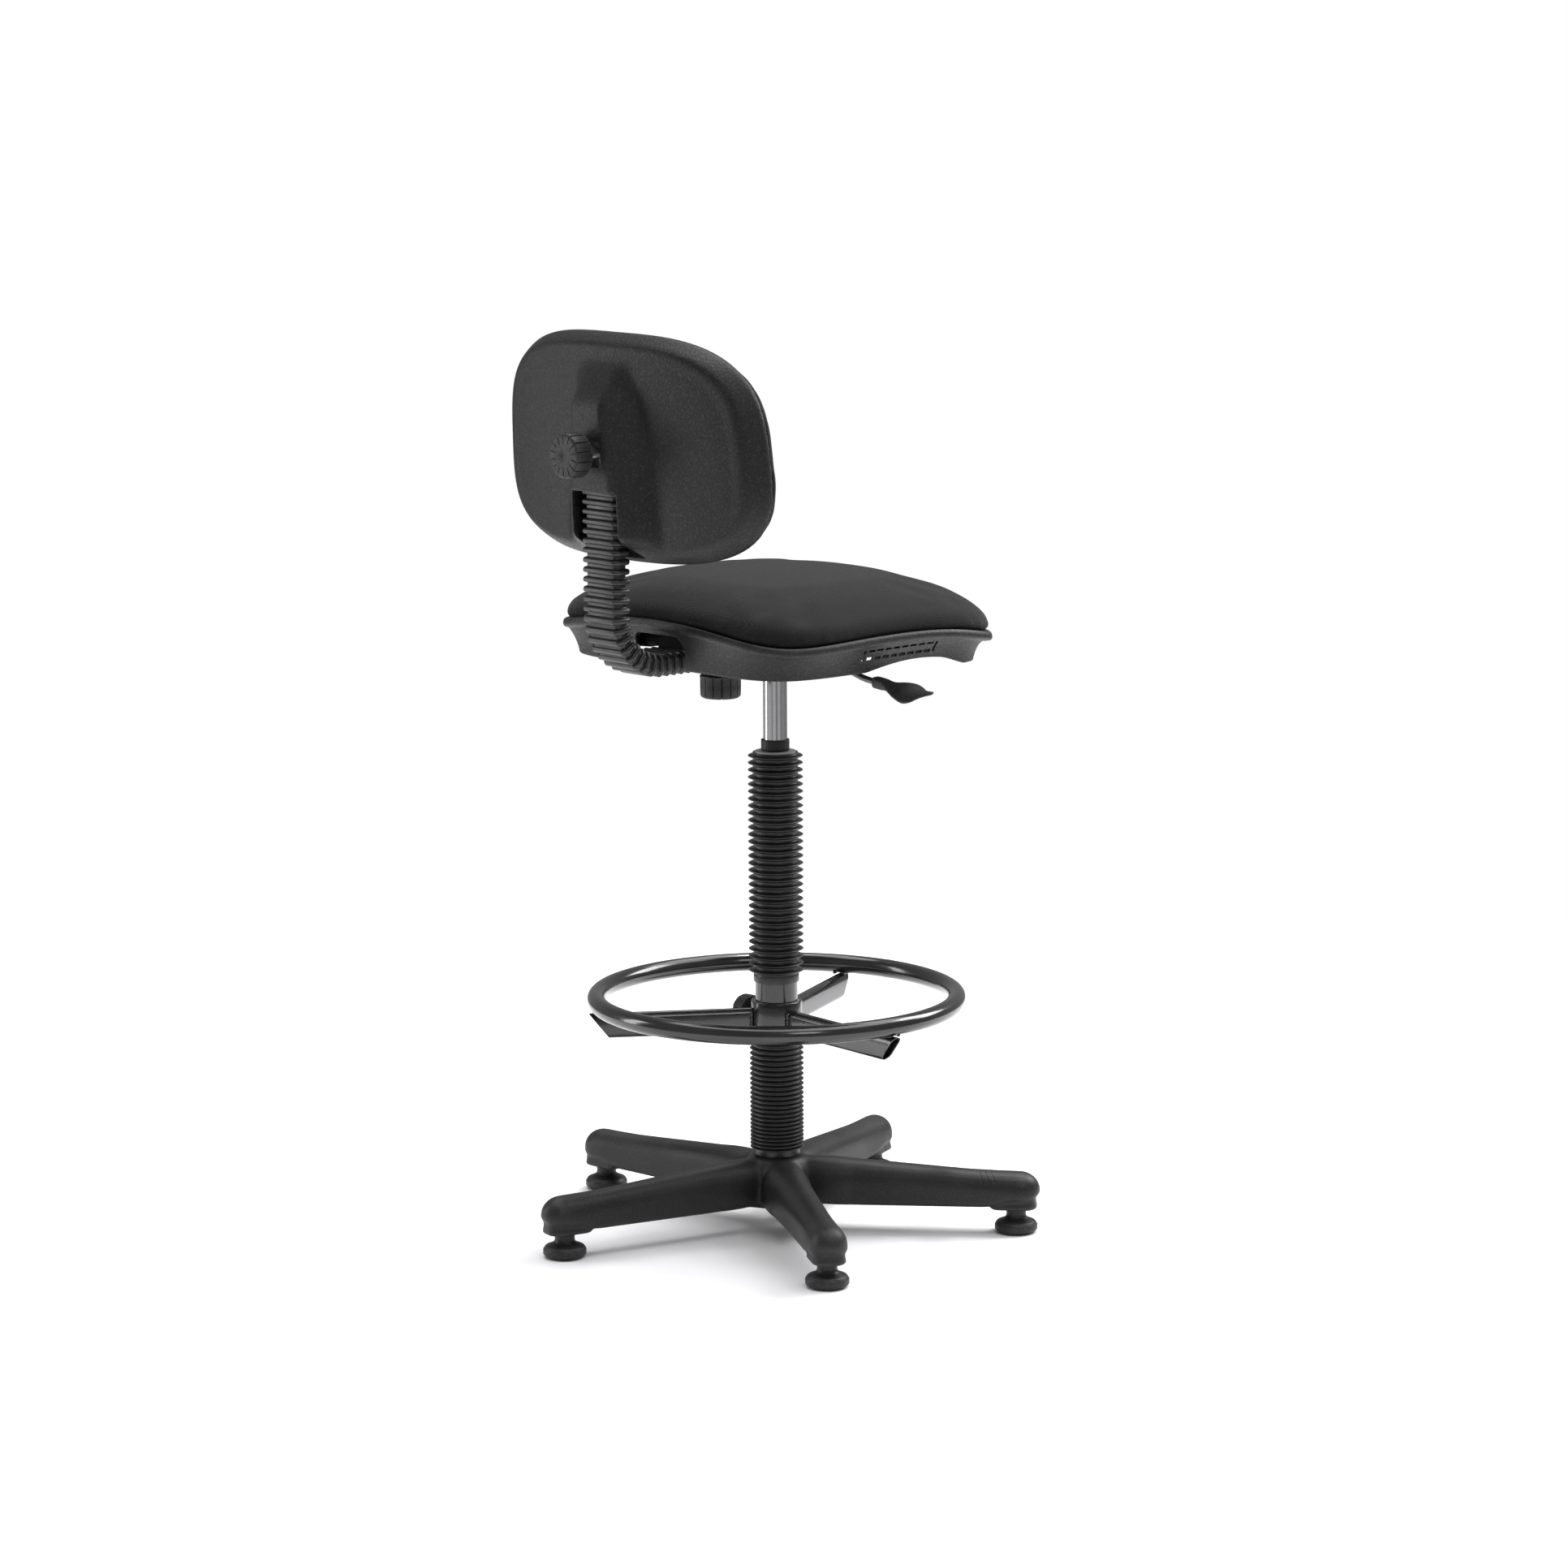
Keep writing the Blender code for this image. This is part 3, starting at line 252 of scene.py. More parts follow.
def joined(*shapes):
    points, faces, start = [], [], 0
    for more_points, more_faces in shapes:
        points.append(more_points)
        faces += [tuple(i + start for i in face) for face in more_faces]
        start += len(more_points)
    return np.vstack(points), faces


def moved(shape, matrix=None, offset=(0, 0, 0)):
    points, faces = shape
    if matrix is not None:
        points = points @ np.array(matrix)[:3, :3].T
    return points + np.array(offset), faces


def lathe(profile, steps=64, ends="loop"):
    """Turned shape about Z through (radius, height) pairs."""
    angle = 2 * pi * np.arange(steps) / steps
    rings = [np.column_stack([r * np.cos(angle), r * np.sin(angle), np.full(steps, z)])
             for r, z in profile]
    return skin(rings, ends)


def sweep(path, section, upright):
    """Section, (across, up) pairs, carried along a path of points."""
    path = np.asarray(path, float)
    rings = []
    for i, place in enumerate(path):
        along = unit(path[min(i + 1, len(path) - 1)] - path[max(i - 1, 0)])
        side = unit(np.cross(along, upright))
        up = np.cross(side, along)
        rings.append([place + side * a + up * b for a, b in section])
    return skin(rings)


def circle(radius, count):
    return [(radius * cos(2 * pi * i / count), radius * sin(2 * pi * i / count)) for i in range(count)]


def taken(bm):
    """Points and faces of a bmesh, which is freed."""
    bm.verts.index_update()
    points = np.array([v.co[:] for v in bm.verts])
    faces = [tuple(v.index for v in f.verts) for f in bm.faces]
    bm.free()
    return points, faces


def soft_box(low, high, radius=0.001, segments=2):
    bm = bmesh.new()
    bmesh.ops.create_cube(bm, size=1.0)
    low, high = np.array(low, float), np.array(high, float)
    bmesh.ops.scale(bm, vec=high - low, verts=bm.verts)
    bmesh.ops.translate(bm, vec=(low + high) / 2, verts=bm.verts)
    bmesh.ops.bevel(bm, geom=bm.edges[:], offset=radius, segments=segments, affect="EDGES", profile=0.5)
    return taken(bm)


def mesh_of(shape, name="shape"):
    points, faces = shape
    mesh = bpy.data.meshes.new(name)
    mesh.from_pydata((points + AXIS).tolist(), [], faces)
    bm = bmesh.new()
    bm.from_mesh(mesh)
    bmesh.ops.recalc_face_normals(bm, faces=bm.faces)
    bm.to_mesh(mesh)
    bm.free()
    return mesh


def thing(name, data):
    item = bpy.data.objects.new(name, data)
    bpy.context.scene.collection.objects.link(item)
    return item


def points_of(item):
    return np.array([v.co[:] for v in item.data.vertices])


def set_points(item, points):
    item.data.vertices.foreach_set("co", points.ravel())
    item.data.update()


def settle(item):
    """Replace an object's mesh by what its modifiers make of it."""
    bpy.context.view_layer.update()
    made = bpy.data.meshes.new_from_object(item.evaluated_get(bpy.context.evaluated_depsgraph_get()))
    item.modifiers.clear()
    old, item.data = item.data, made
    bpy.data.meshes.remove(old)
    return item


def in_triangles(item):
    bm = bmesh.new()
    bm.from_mesh(item.data)
    bmesh.ops.triangulate(bm, faces=bm.faces, quad_method="SHORT_EDGE")
    bm.to_mesh(item.data)
    bm.free()
    return item


def subtract(item, tool):
    """Cut one object from another and remove the cutter."""
    in_triangles(item)
    in_triangles(tool)
    step = item.modifiers.new("cut", "BOOLEAN")
    step.object, step.operation, step.solver = tool, "DIFFERENCE", "MANIFOLD"
    settle(item)
    bpy.data.objects.remove(tool, do_unlink=True)
    return item


def cut(item, shape):
    return subtract(item, thing("tool", mesh_of(shape)))


def even_out(item, voxel, passes, factor=0.5):
    """Remesh at an even grid and smooth it, which also rounds every edge a little."""
    step = item.modifiers.new("grid", "REMESH")
    step.mode, step.voxel_size, step.adaptivity = "VOXEL", voxel, 0.0
    if passes:
        soft = item.modifiers.new("soft", "SMOOTH")
        soft.iterations, soft.factor = passes, factor
    return settle(item)


def finish(item, finish_of, body, nodes=(), crease=None):
    """Give a piece its material, its body and the CAD nodes it stands for."""
    item.data.materials.clear()
    item.data.materials.append(finish_of)
    item.data.shade_smooth()
    if crease is not None:
        item.data.set_sharp_from_angle(angle=radians(crease))
    if body is not None:
        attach(item, body)
    if nodes:
        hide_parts(*nodes)
    return item


def piece(name, shape, finish_of, body, nodes=(), crease=None):
    return finish(thing(name, mesh_of(shape, name)), finish_of, body, nodes, crease)


# ---- materials ----
class Paint:
    """Node builder for one procedural material."""

    def __init__(self, name):
        self.material = bpy.data.materials.new(name)
        self.material.use_nodes = True
        self.tree = self.material.node_tree
        self.shader = self.tree.nodes["Principled BSDF"]
        self.place = self.add("ShaderNodeTexCoord").outputs["Object"]

    def add(self, kind, **settings):
        node = self.tree.nodes.new(kind)
        for key, value in settings.items():
            setattr(node, key, value)
        return node

    def link(self, source, target):
        self.tree.links.new(source, target)

    def feed(self, socket, value):
        if isinstance(value, (int, float, tuple)):
            socket.default_value = value
        else:
            self.link(value, socket)

    def noise(self, scale, detail=3.0, roughness=0.5, stretch=None):
        node = self.add("ShaderNodeTexNoise")
        node.inputs["Scale"].default_value = scale
        node.inputs["Detail"].default_value = detail
        node.inputs["Roughness"].default_value = roughness
        source = self.place
        if stretch is not None:
            source = self.vector("MULTIPLY", self.place, stretch)
        self.link(source, node.inputs["Vector"])
        return node.outputs["Fac"]

    def vector(self, operation, a, b):
        node = self.add("ShaderNodeVectorMath", operation=operation)
        self.feed(node.inputs[0], a)
        self.feed(node.inputs[1], b)
        return node.outputs["Value" if operation == "DOT_PRODUCT" else "Vector"]

    def maths(self, operation, a, b=0.0, c=0.0):
        node = self.add("ShaderNodeMath", operation=operation)
        for socket, value in zip(node.inputs, (a, b, c)):
            self.feed(socket, value)
        return node.outputs[0]

    def spread(self, value, low, high, to_low, to_high):
        """Carry a value from one range to another."""
        node = self.add("ShaderNodeMapRange")
        for key, number in (("From Min", low), ("From Max", high), ("To Min", to_low), ("To Max", to_high)):
            node.inputs[key].default_value = number
        self.link(value, node.inputs["Value"])
        return node.outputs["Result"]

    def vary(self, noise, to_low, to_high):
        """Carry a noise's usual range to another."""
        return self.spread(noise, 0.3, 0.7, to_low, to_high)

    def times(self, a, b):
        return self.maths("MULTIPLY", a, b)

    def plus(self, a, b):
        return self.maths("ADD", a, b)

    def minus(self, a, b):
        return self.maths("SUBTRACT", a, b)

    def rubbed(self, colour, tone, scale, spots, low=0.50, high=0.60):
        """Paler worn edges, broken up by a noise; spots is the spread of that noise."""
        share = self.times(self.edges(low, high), self.spread(self.noise(scale, 4.0), *spots))
        return self.mix(share, colour, grey(tone))

    def mix(self, share, first, second):
        node = self.add("ShaderNodeMix", data_type="RGBA")
        self.feed(node.inputs[0], share)
        self.feed(node.inputs[6], first)
        self.feed(node.inputs[7], second)
        return node.outputs[2]

    def tones(self, noise, dark, light):
        """Grey that follows a noise from a dark tone to a light one."""
        return self.mix(self.vary(noise, 0.0, 1.0), grey(dark), grey(light))

    def edges(self, low=0.50, high=0.60):
        """Share that is 1 on worn outside edges and 0 elsewhere."""
        return self.spread(self.add("ShaderNodeNewGeometry").outputs["Pointiness"], low, high, 0.0, 1.0)

    def bump(self, height, strength, distance, under=None):
        node = self.add("ShaderNodeBump")
        node.inputs["Strength"].default_value = strength
        node.inputs["Distance"].default_value = distance
        self.link(height, node.inputs["Height"])
        if under is not None:
            self.link(under, node.inputs["Normal"])
        return node.outputs["Normal"]

    def done(self, colour, roughness, normal, **fixed):
        self.link(colour, self.shader.inputs["Base Color"])
        self.link(roughness, self.shader.inputs["Roughness"])
        self.link(normal, self.shader.inputs["Normal"])
        for key, value in fixed.items():
            self.shader.inputs[key.replace("_", " ")].default_value = value
        return self.material


def grey(value):
    return (value, value, value * 1.02, 1.0)


PLASTIC_SPECULAR = 0.30


def moulded_plastic(name, dark=0.007, light=0.012, grain=1.0, wear=0.055):
    """Spark-grained black moulding: fine pits with painted glints speckled over them, slow patches, paler
    rubbed edges.
    """
    p = Paint(name)
    patches = p.noise(9.0, 3.0)
    fine = p.noise(1100.0, 2.0, 0.6)
    grain_and_glint = p.noise(360.0, 3.0, 0.7)
    colour = p.tones(patches, dark, light)
    # painted glint: paler speckle over the grain, standing in for the grain catching the light; grain sets
    # its strength along with the pits
    colour = p.mix(p.spread(grain_and_glint, 0.52, 0.64, 0.0, 0.85 * grain), colour, grey(light * 2.4))
    colour = p.rubbed(colour, wear, 60.0, (0.35, 0.7, 0.1, 0.8))
    rough = p.plus(p.vary(patches, 0.40, 0.50), p.vary(grain_and_glint, 0.08, -0.08))
    normal = p.bump(grain_and_glint, 0.55 * grain, 0.0012)
    normal = p.bump(fine, 0.30 * grain, 0.0004, normal)
    return p.done(colour, rough, normal, Specular_IOR_Level=PLASTIC_SPECULAR)


def base_plastic():
    """The base's moulding, with the arcs moulded in over each tip and the seams between arms."""
    p = Paint("base_plastic")
    patches = p.noise(11.0, 3.0)
    fine = p.noise(1300.0, 2.0, 0.6)
    grain_and_glint = p.noise(520.0, 3.0, 0.6)
    colour = p.tones(patches, 0.009, 0.015)
    # painted glint: paler speckle over the grain, standing in for the grain catching the light
    colour = p.mix(p.spread(grain_and_glint, 0.46, 0.74, 0.0, 0.4), colour, grey(0.040))
    colour = p.rubbed(colour, 0.085, 45.0, (0.4, 0.7, 0.0, 0.5), 0.505, 0.56)
    split = p.add("ShaderNodeSeparateXYZ")
    p.link(p.vector("SUBTRACT", p.place, tuple(AXIS)), split.inputs[0])
    x, y, z = split.outputs
    radius = p.maths("SQRT", p.plus(p.times(x, x), p.times(y, y)))
    turn = p.maths("ARCTAN2", p.times(x, -1.0), y)
    sector = 2 * pi / ARM_COUNT
    off = p.maths("WRAP", p.minus(turn, ARM_START), sector / 2, -sector / 2)
    along = p.minus(p.times(radius, p.maths("COSINE", off)), GLIDE_RADIUS)
    across = p.times(radius, p.maths("SINE", off))
    reach = p.maths("SQRT", p.plus(p.times(along, along),
                                    p.times(across, across)))
    lines = None
    for arc in (0.030, 0.0365, 0.043):
        line = p.spread(p.maths("ABSOLUTE", p.minus(reach, arc)), 0.0003, 0.0009, 1.0, 0.0)
        lines = line if lines is None else p.maths("MAXIMUM", lines, line)
    inward = p.spread(along, -0.012, -0.020, 0.0, 1.0)
    high = p.spread(z, 0.058, 0.064, 0.0, 1.0)
    lines = p.times(lines, p.times(inward, high))
    beyond = p.maths("ABSOLUTE", p.minus(p.maths("ABSOLUTE", off), sector / 2))
    seam = p.spread(p.times(beyond, radius), 0.0003, 0.0008, 1.0, 0.0)
    seam = p.times(seam, p.spread(radius, 0.036, 0.038, 0.0, 1.0))
    lines = p.maths("MAXIMUM", lines, seam)
    colour = p.mix(p.times(lines, 0.40), colour, grey(0.008))
    rough = p.plus(p.vary(patches, 0.38, 0.50), p.vary(fine, -0.05, 0.06))
    normal = p.bump(grain_and_glint, 0.22, 0.0006)
    normal = p.bump(fine, 0.25, 0.0003, normal)
    normal = p.bump(p.times(lines, -1.0), 0.55, 0.0004, normal)
    return p.done(colour, rough, normal, Specular_IOR_Level=PLASTIC_SPECULAR)


def rubber(name):
    """Bellows rubber: slightly satin, dusty in the valleys, rubbed on the rib edges."""
    p = Paint(name)
    patches = p.noise(30.0, 4.0)
    fine = p.noise(900.0, 3.0, 0.6)
    colour = p.tones(patches, 0.007, 0.014)
    rub = p.times(p.edges(0.52, 0.62), p.vary(patches, 0.25, 0.8))
    colour = p.mix(rub, colour, grey(0.055))
    dust = p.times(p.spread(p.add("ShaderNodeNewGeometry").outputs["Pointiness"],
                                        0.40, 0.48, 0.35, 0.0), p.noise(120.0, 4.0))
    colour = p.mix(dust, colour, grey(0.030))
    rough = p.plus(p.vary(patches, 0.30, 0.44), p.vary(fine, -0.04, 0.06))
    return p.done(colour, rough, p.bump(fine, 0.18, 0.0003), Specular_IOR_Level=0.5)


def gloss_paint(name, rough=0.14, tone=0.008):
    """Gloss black powder coat with a slight orange peel."""
    p = Paint(name)
    peel = p.noise(320.0, 2.0, 0.45)
    patches = p.noise(14.0, 4.0)
    colour = p.mix(p.spread(patches, 0.35, 0.7, 0.0, 1.0), grey(tone), grey(tone * 1.8))
    colour = p.rubbed(colour, 0.045, 80.0, (0.45, 0.7, 0.0, 0.5), 0.53, 0.64)
    roughness = p.plus(p.vary(patches, rough, rough + 0.08),
                        p.spread(p.noise(240.0, 4.0), 0.55, 0.8, 0.0, 0.10))
    return p.done(colour, roughness, p.bump(peel, 0.10, 0.0008), Coat_Weight=0.35, Coat_Roughness=0.06,
                  Specular_IOR_Level=0.55)


def ground_steel(name):
    """Ground and chromed gas cylinder, with long fine marks up its length."""
    p = Paint(name)
    streaks = p.noise(1.0, 4.0, 0.6, (1100.0, 1100.0, 1.2))
    broad = p.noise(1.0, 2.0, 0.5, (210.0, 210.0, 0.3))
    scratch = p.noise(1.0, 3.0, 0.6, (60.0, 60.0, 700.0))
    colour = p.mix(p.spread(broad, 0.38, 0.60, 0.0, 1.0), grey(0.42), grey(0.88))
    colour = p.mix(p.spread(streaks, 0.45, 0.75, 0.0, 0.4), colour, grey(0.95))
    rough = p.plus(p.vary(streaks, 0.10, 0.20), p.spread(scratch, 0.5, 0.8, 0.0, 0.06))
    return p.done(colour, rough, p.bump(scratch, 0.03, 0.0001), Metallic=1.0)


def plain_steel(name):
    """Zinc-plated pressed steel."""
    p = Paint(name)
    spangle = p.noise(160.0, 4.0, 0.65)
    fine = p.noise(700.0, 3.0)
    colour = p.tones(spangle, 0.36, 0.52)
    rough = p.vary(spangle, 0.30, 0.48)
    return p.done(colour, rough, p.bump(fine, 0.15, 0.0003), Metallic=1.0)


def pale_plastic(name, tone=0.32):
    """Turned nylon: pale, a little waxy."""
    p = Paint(name)
    patches = p.noise(40.0, 4.0)
    marks = p.noise(1.0, 3.0, 0.5, (60.0, 60.0, 900.0))
    colour = p.tones(patches, tone, tone * 1.25)
    rough = p.vary(marks, 0.36, 0.52)
    return p.done(colour, rough, p.bump(marks, 0.12, 0.0003), Specular_IOR_Level=0.45)


def plywood(name):
    p = Paint(name)
    grain = p.noise(1.0, 5.0, 0.6, (18.0, 220.0, 900.0))
    colour = p.mix(p.vary(grain, 0.0, 1.0), (0.42, 0.29, 0.16, 1.0), (0.62, 0.47, 0.29, 1.0))
    return p.done(colour, p.vary(grain, 0.55, 0.72), p.bump(grain, 0.3, 0.0005))


TWILL_PITCH = 0.0027


def twill(name):
    """Black twill: slanting ribs of yarn, broken by the cross threads, with lint and soft patches."""
    p = Paint(name)
    ribs = p.vector("DOT_PRODUCT", p.place, (1.0, 0.62, 0.95))
    cross = p.vector("DOT_PRODUCT", p.place, (-0.55, 1.0, 0.75))
    sway = p.spread(p.noise(35.0, 2.0), 0.3, 0.7, -0.0004, 0.0004)
    pitch = 2 * pi / TWILL_PITCH
    rib_wave = p.maths("SINE", p.times(p.plus(ribs, sway), pitch))
    cross_wave = p.maths("SINE", p.plus(p.times(cross, pitch * 1.6),
                                         p.times(ribs, pitch * 0.5)))
    weave = p.plus(p.times(rib_wave, 0.7), p.times(cross_wave, 0.3))
    fuzz = p.noise(1600.0, 3.0, 0.7)
    patches = p.noise(12.0, 4.0, 0.55)
    colour = p.mix(p.spread(weave, -0.8, 0.8, 0.0, 1.0), grey(0.002), grey(0.020))
    colour = p.mix(p.vary(patches, 0.0, 0.25), colour, grey(0.014))
    colour = p.mix(p.spread(fuzz, 0.60, 0.80, 0.0, 0.40), colour, grey(0.050))
    lint = p.spread(p.noise(230.0, 1.0), 0.80, 0.83, 0.0, 0.5)
    colour = p.mix(lint, colour, grey(0.30))
    rough = p.vary(fuzz, 0.80, 0.98)
    normal = p.bump(weave, 0.55, 0.0006)
    normal = p.bump(fuzz, 0.35, 0.0003, normal)
    return p.done(colour, rough, normal, Specular_IOR_Level=0.15, Sheen_Weight=0.10, Sheen_Roughness=0.45)


PLASTIC = moulded_plastic("moulded_plastic")
KNOB_PLASTIC = moulded_plastic("knob_plastic", 0.011, 0.017, 0.6, 0.09)
BASE_PLASTIC = base_plastic()
COLLAR_PLASTIC = moulded_plastic("collar_plastic", 0.006, 0.010, 0.4, 0.03)
RUBBER = rubber("bellows_rubber")
GLOSS = gloss_paint("gloss_black")
SATIN = gloss_paint("satin_black", 0.30, 0.012)
CHROME = ground_steel("ground_chrome")
STEEL = plain_steel("zinc_steel")
NYLON = pale_plastic("nylon")
FLANGE = pale_plastic("flange_nylon", 0.42)
PLY = plywood("plywood")
TWILL = twill("black_twill")


# ---- base ----
def arm_ring(reach, half, top, bottom, steps=9):
    """Upright section across an arm: flat foot with soft corners, straight sides, round top."""
    foot = min(0.0035, 0.4 * half)
    shoulder = max(top - half, bottom + foot)
    points = [(-half + foot, bottom), (half - foot, bottom), (half, bottom + foot)]
    points += [(half, bottom + foot + (shoulder - bottom - foot) * k / 3) for k in (1, 2)]
    for i in range(steps + 1):
        angle = pi * i / steps
        points.append((half * cos(angle), shoulder + (top - shoulder) * sin(angle)))
    points += [(-half, bottom + foot + (shoulder - bottom - foot) * k / 3) for k in (2, 1, 0)]
    return [(reach, y, z) for y, z in points]


def arm_shape():
    """One arm along +X, with a bulb over its tip."""
    # reach, half width, top, bottom
    stations = spline([
        (0.016, 0.0185, 0.0855, ARM_BOTTOM + 0.003), (0.050, 0.0268, 0.0868, ARM_BOTTOM + 0.001),
        (0.076, 0.0262, 0.0858, ARM_BOTTOM), (0.094, 0.0234, 0.0838, ARM_BOTTOM),
        (0.140, 0.0220, 0.0805, ARM_BOTTOM),
        (0.220, 0.0206, 0.0748, ARM_BOTTOM), (0.252, 0.0211, 0.0734, ARM_BOTTOM + 0.001),
        (0.272, 0.0221, 0.0729, ARM_BOTTOM + 0.0075),
    ], 4)
    rings = [arm_ring(*station) for station in stations]
    centre, middle, size = 0.2865, 0.0500, 0.0224
    for k in range(11):
        angle = 0.5 * pi * (k / 10) ** 0.9 * 0.985
        half = size * cos(angle)
        rings.append(arm_ring(centre + (ARM_TIP_RADIUS - centre) * sin(angle), half,
                              middle + half * 1.01, middle - 0.0100 * cos(angle) - 0.0004))
    return skin(rings)


def boss_shape():
    """Lower block of an arm's tip, that the glide goes into, set in a little under the bulb."""
    half = 0.0186
    side = [(0.254, -half, 0.010), (0.3060, -half, 0.0145), (0.3060, half, 0.0145), (0.254, half, 0.010)]
    loop = np.array(rounded(side, True, 6))
    normal = outward(loop)
    rings = []
    for out, z in ((-0.0004, BOSS_BOTTOM), (0.0014, BOSS_BOTTOM + 0.0008), (0.0017, BOSS_BOTTOM + 0.0026),
                   (0.0006, BOSS_BOTTOM + 0.0060), (0.0, 0.0390), (0.0, 0.047), (-0.004, 0.054)):
        line = loop + normal * out
        rings.append(np.column_stack([line, np.full(len(line), z)]))
    return skin(rings)


def arm_turn(index):
    """Rotation from +X to one of the arms."""
    return Matrix.Rotation(ARM_START + 2 * pi * index / ARM_COUNT + pi / 2, 3, "Z")


def make_base():
    hub = lathe(rounded([(0.0005, HUB_TOP, 0), (0.0325, HUB_TOP, 0.003), (0.0400, 0.0765, 0.008),
                         (0.0475, 0.052, 0.02), (0.0490, ARM_BOTTOM - 0.001, 0.002),
                         (0.0005, ARM_BOTTOM - 0.001, 0)]), 64, "fan")
    shapes = [hub]
    for k in range(ARM_COUNT):
        shapes += [moved(arm_shape(), arm_turn(k)), moved(boss_shape(), arm_turn(k))]
    base = thing("star_base_moulding", mesh_of(joined(*shapes)))
    even_out(base, 0.0017, 12)
    near = base.vertex_groups.new(name="near_hub")
    for vertex in base.data.vertices:
        reach = hypot(vertex.co.x - AXIS[0], vertex.co.y - AXIS[1])
        near.add([vertex.index], float(1.0 - ease(0.066, 0.110, reach)), "REPLACE")
    soft = base.modifiers.new("fillets", "SMOOTH")
    soft.iterations, soft.factor, soft.vertex_group = 45, 0.6, "near_hub"
    settle(base)
    low = ARM_BOTTOM - 0.02
    cuts = [lathe([(HUB_BORE, low), (HUB_BORE, 0.12)], 64, "fan")]
    for k in range(ARM_COUNT):
        channel = soft_box((0.064, -CHANNEL_HALF, low), (0.250, CHANNEL_HALF, 0.064), 0.006, 3)
        hole = lathe([(GLIDE_HOLE, low), (GLIDE_HOLE, 0.0523)], 24, "fan")
        cuts += [moved(channel, arm_turn(k)), moved(moved(hole, None, (GLIDE_RADIUS, 0, 0)), arm_turn(k))]
    for shape in cuts:
        cut(base, shape)
    finish(base, BASE_PLASTIC, "base", ["star_base"], 50)


def make_glides():
    profile = rounded([
        (0.0004, 0.0515, 0), (0.0054, 0.0515, 0.001), (0.0054, 0.0284, 0), (0.0120, 0.0284, 0.0008),
        (0.0112, 0.0180, 0.006), (0.0225, 0.0135, 0.004), (0.0252, 0.0095, 0.0022),
        (0.0252, 0.0040, 0.0028), (0.0215, 0.0004, 0.0015), (0.0200, 0.0, 0), (0.0004, 0.0, 0),
    ])
    for k in range(ARM_COUNT):
        place = turned_from_y(ARM_START + 2 * pi * k / ARM_COUNT, GLIDE_RADIUS)
        piece("glide_foot_%d" % (k + 1), moved(lathe(profile, 48, "fan"), None, place), KNOB_PLASTIC, "base",
              ["glide_%d" % (k + 1)], 50)


# ---- column ----
def tube_profile(outer, inner, bottom, top, edge=0.0005):
    return rounded([(outer, top, edge), (outer, bottom, edge), (inner, bottom, edge), (inner, top, edge)],
                   True, 3)


def make_column():
    piece("column_tube_painted", lathe(tube_profile(TUBE_RADIUS, TUBE_RADIUS - 0.002, TUBE_BOTTOM, TUBE_TOP)),
          GLOSS, "base", ["column_tube"], 50)
    seat, head = TUBE_TOP + 0.0003, TUBE_TOP + 0.0035
    flange = rounded([(0.0240, head, 0.0008), (0.0240, seat, 0.0003), (0.0227, seat, 0),
                      (0.0227, BUSH_FOOT, 0), (BUSH_BORE, BUSH_FOOT, 0), (BUSH_BORE, head, 0)], True, 3)
    piece("bush_flange", lathe(flange), FLANGE, "base", ["guide_bush"], 50)
    collar = tube_profile(0.0166, BUSH_BORE, TUBE_TOP + 0.0037, COLLAR_TOP, 0.0008)
    piece("bush_collar", lathe(collar), COLLAR_PLASTIC, "base", (), 50)
    inner = CYLINDER_RADIUS - 0.0018
    cylinder = [(0.0046, CYLINDER_TOP), (0.0132, CYLINDER_TOP)]
    cylinder += [(CYLINDER_RADIUS, CYLINDER_SHOULDER - 0.01 * k) for k in range(30)]
    cylinder += [(CYLINDER_RADIUS, CYLINDER_BOTTOM), (inner, CYLINDER_BOTTOM), (inner, 0.640),
                 (0.0046, 0.644)]
    piece("gas_cylinder_ground", lathe(cylinder, 72), CHROME, "seat", ["gas_cylinder"], 40)


def bellows(bottom, top, ribs, cuff, crowding, rib, valley, cuff_radius):
    """Ribbed sleeve: thin round-edged ribs over wide valleys, with a plain cuff at its foot.

    crowding draws the ribs together towards the foot; rib and valley are radii."""
    low = bottom + cuff
    samples = 12
    profile = []
    for i in range(ribs * samples + 1):
        t = i / (ribs * samples)
        phase = (i / samples) % 1.0
        crest = (0.5 - 0.5 * cos(2 * pi * phase)) ** 2.8
        height = top - (top - low) * (t + crowding * t * (1 - t))
        profile.append((valley + (rib - valley) * crest, height))
    profile += rounded([(valley, low, 0), (cuff_radius, low - 0.001, 0.0006), (cuff_radius, bottom, 0.0006),
                        (SLEEVE_BORE, bottom, 0)], False, 3)[1:]
    steps = 6
    profile += [(SLEEVE_BORE, bottom + (top - bottom) * k / steps) for k in range(1, steps + 1)]
    return lathe(profile, 64)


def make_sleeves():
    shape = bellows(UPPER_FOOT, UPPER_HEAD, 31, 0.009, 0.0, 0.0322, 0.0264, 0.0268)
    piece("upper_bellows", shape, RUBBER, "base", ["upper_sleeve"])
    shape = bellows(LOWER_FOOT, LOWER_HEAD, 24, 0.007, 0.22, 0.0318, 0.0268, 0.0270)
    item = piece("lower_bellows", shape, RUBBER, None, ["lower_sleeve"])
    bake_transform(item)


# ---- foot ring ----
def stadium(width, depth, count=10):
    half, straight = width / 2, (depth - width) / 2
    upper = [(half * cos(pi * i / count), straight + half * sin(pi * i / count)) for i in range(count + 1)]
    lower = [(-x, -y) for x, y in upper]
    return upper + lower


def weld(points, size):
    """Row of overlapping beads along a joint."""
    shapes = []
    for i, place in enumerate(points):
        bm = bmesh.new()
        bmesh.ops.create_icosphere(bm, subdivisions=2, radius=size * (1.0 + 0.18 * sin(2.4 * i)))
        shapes.append(moved(taken(bm), None, place))
    return joined(*shapes)


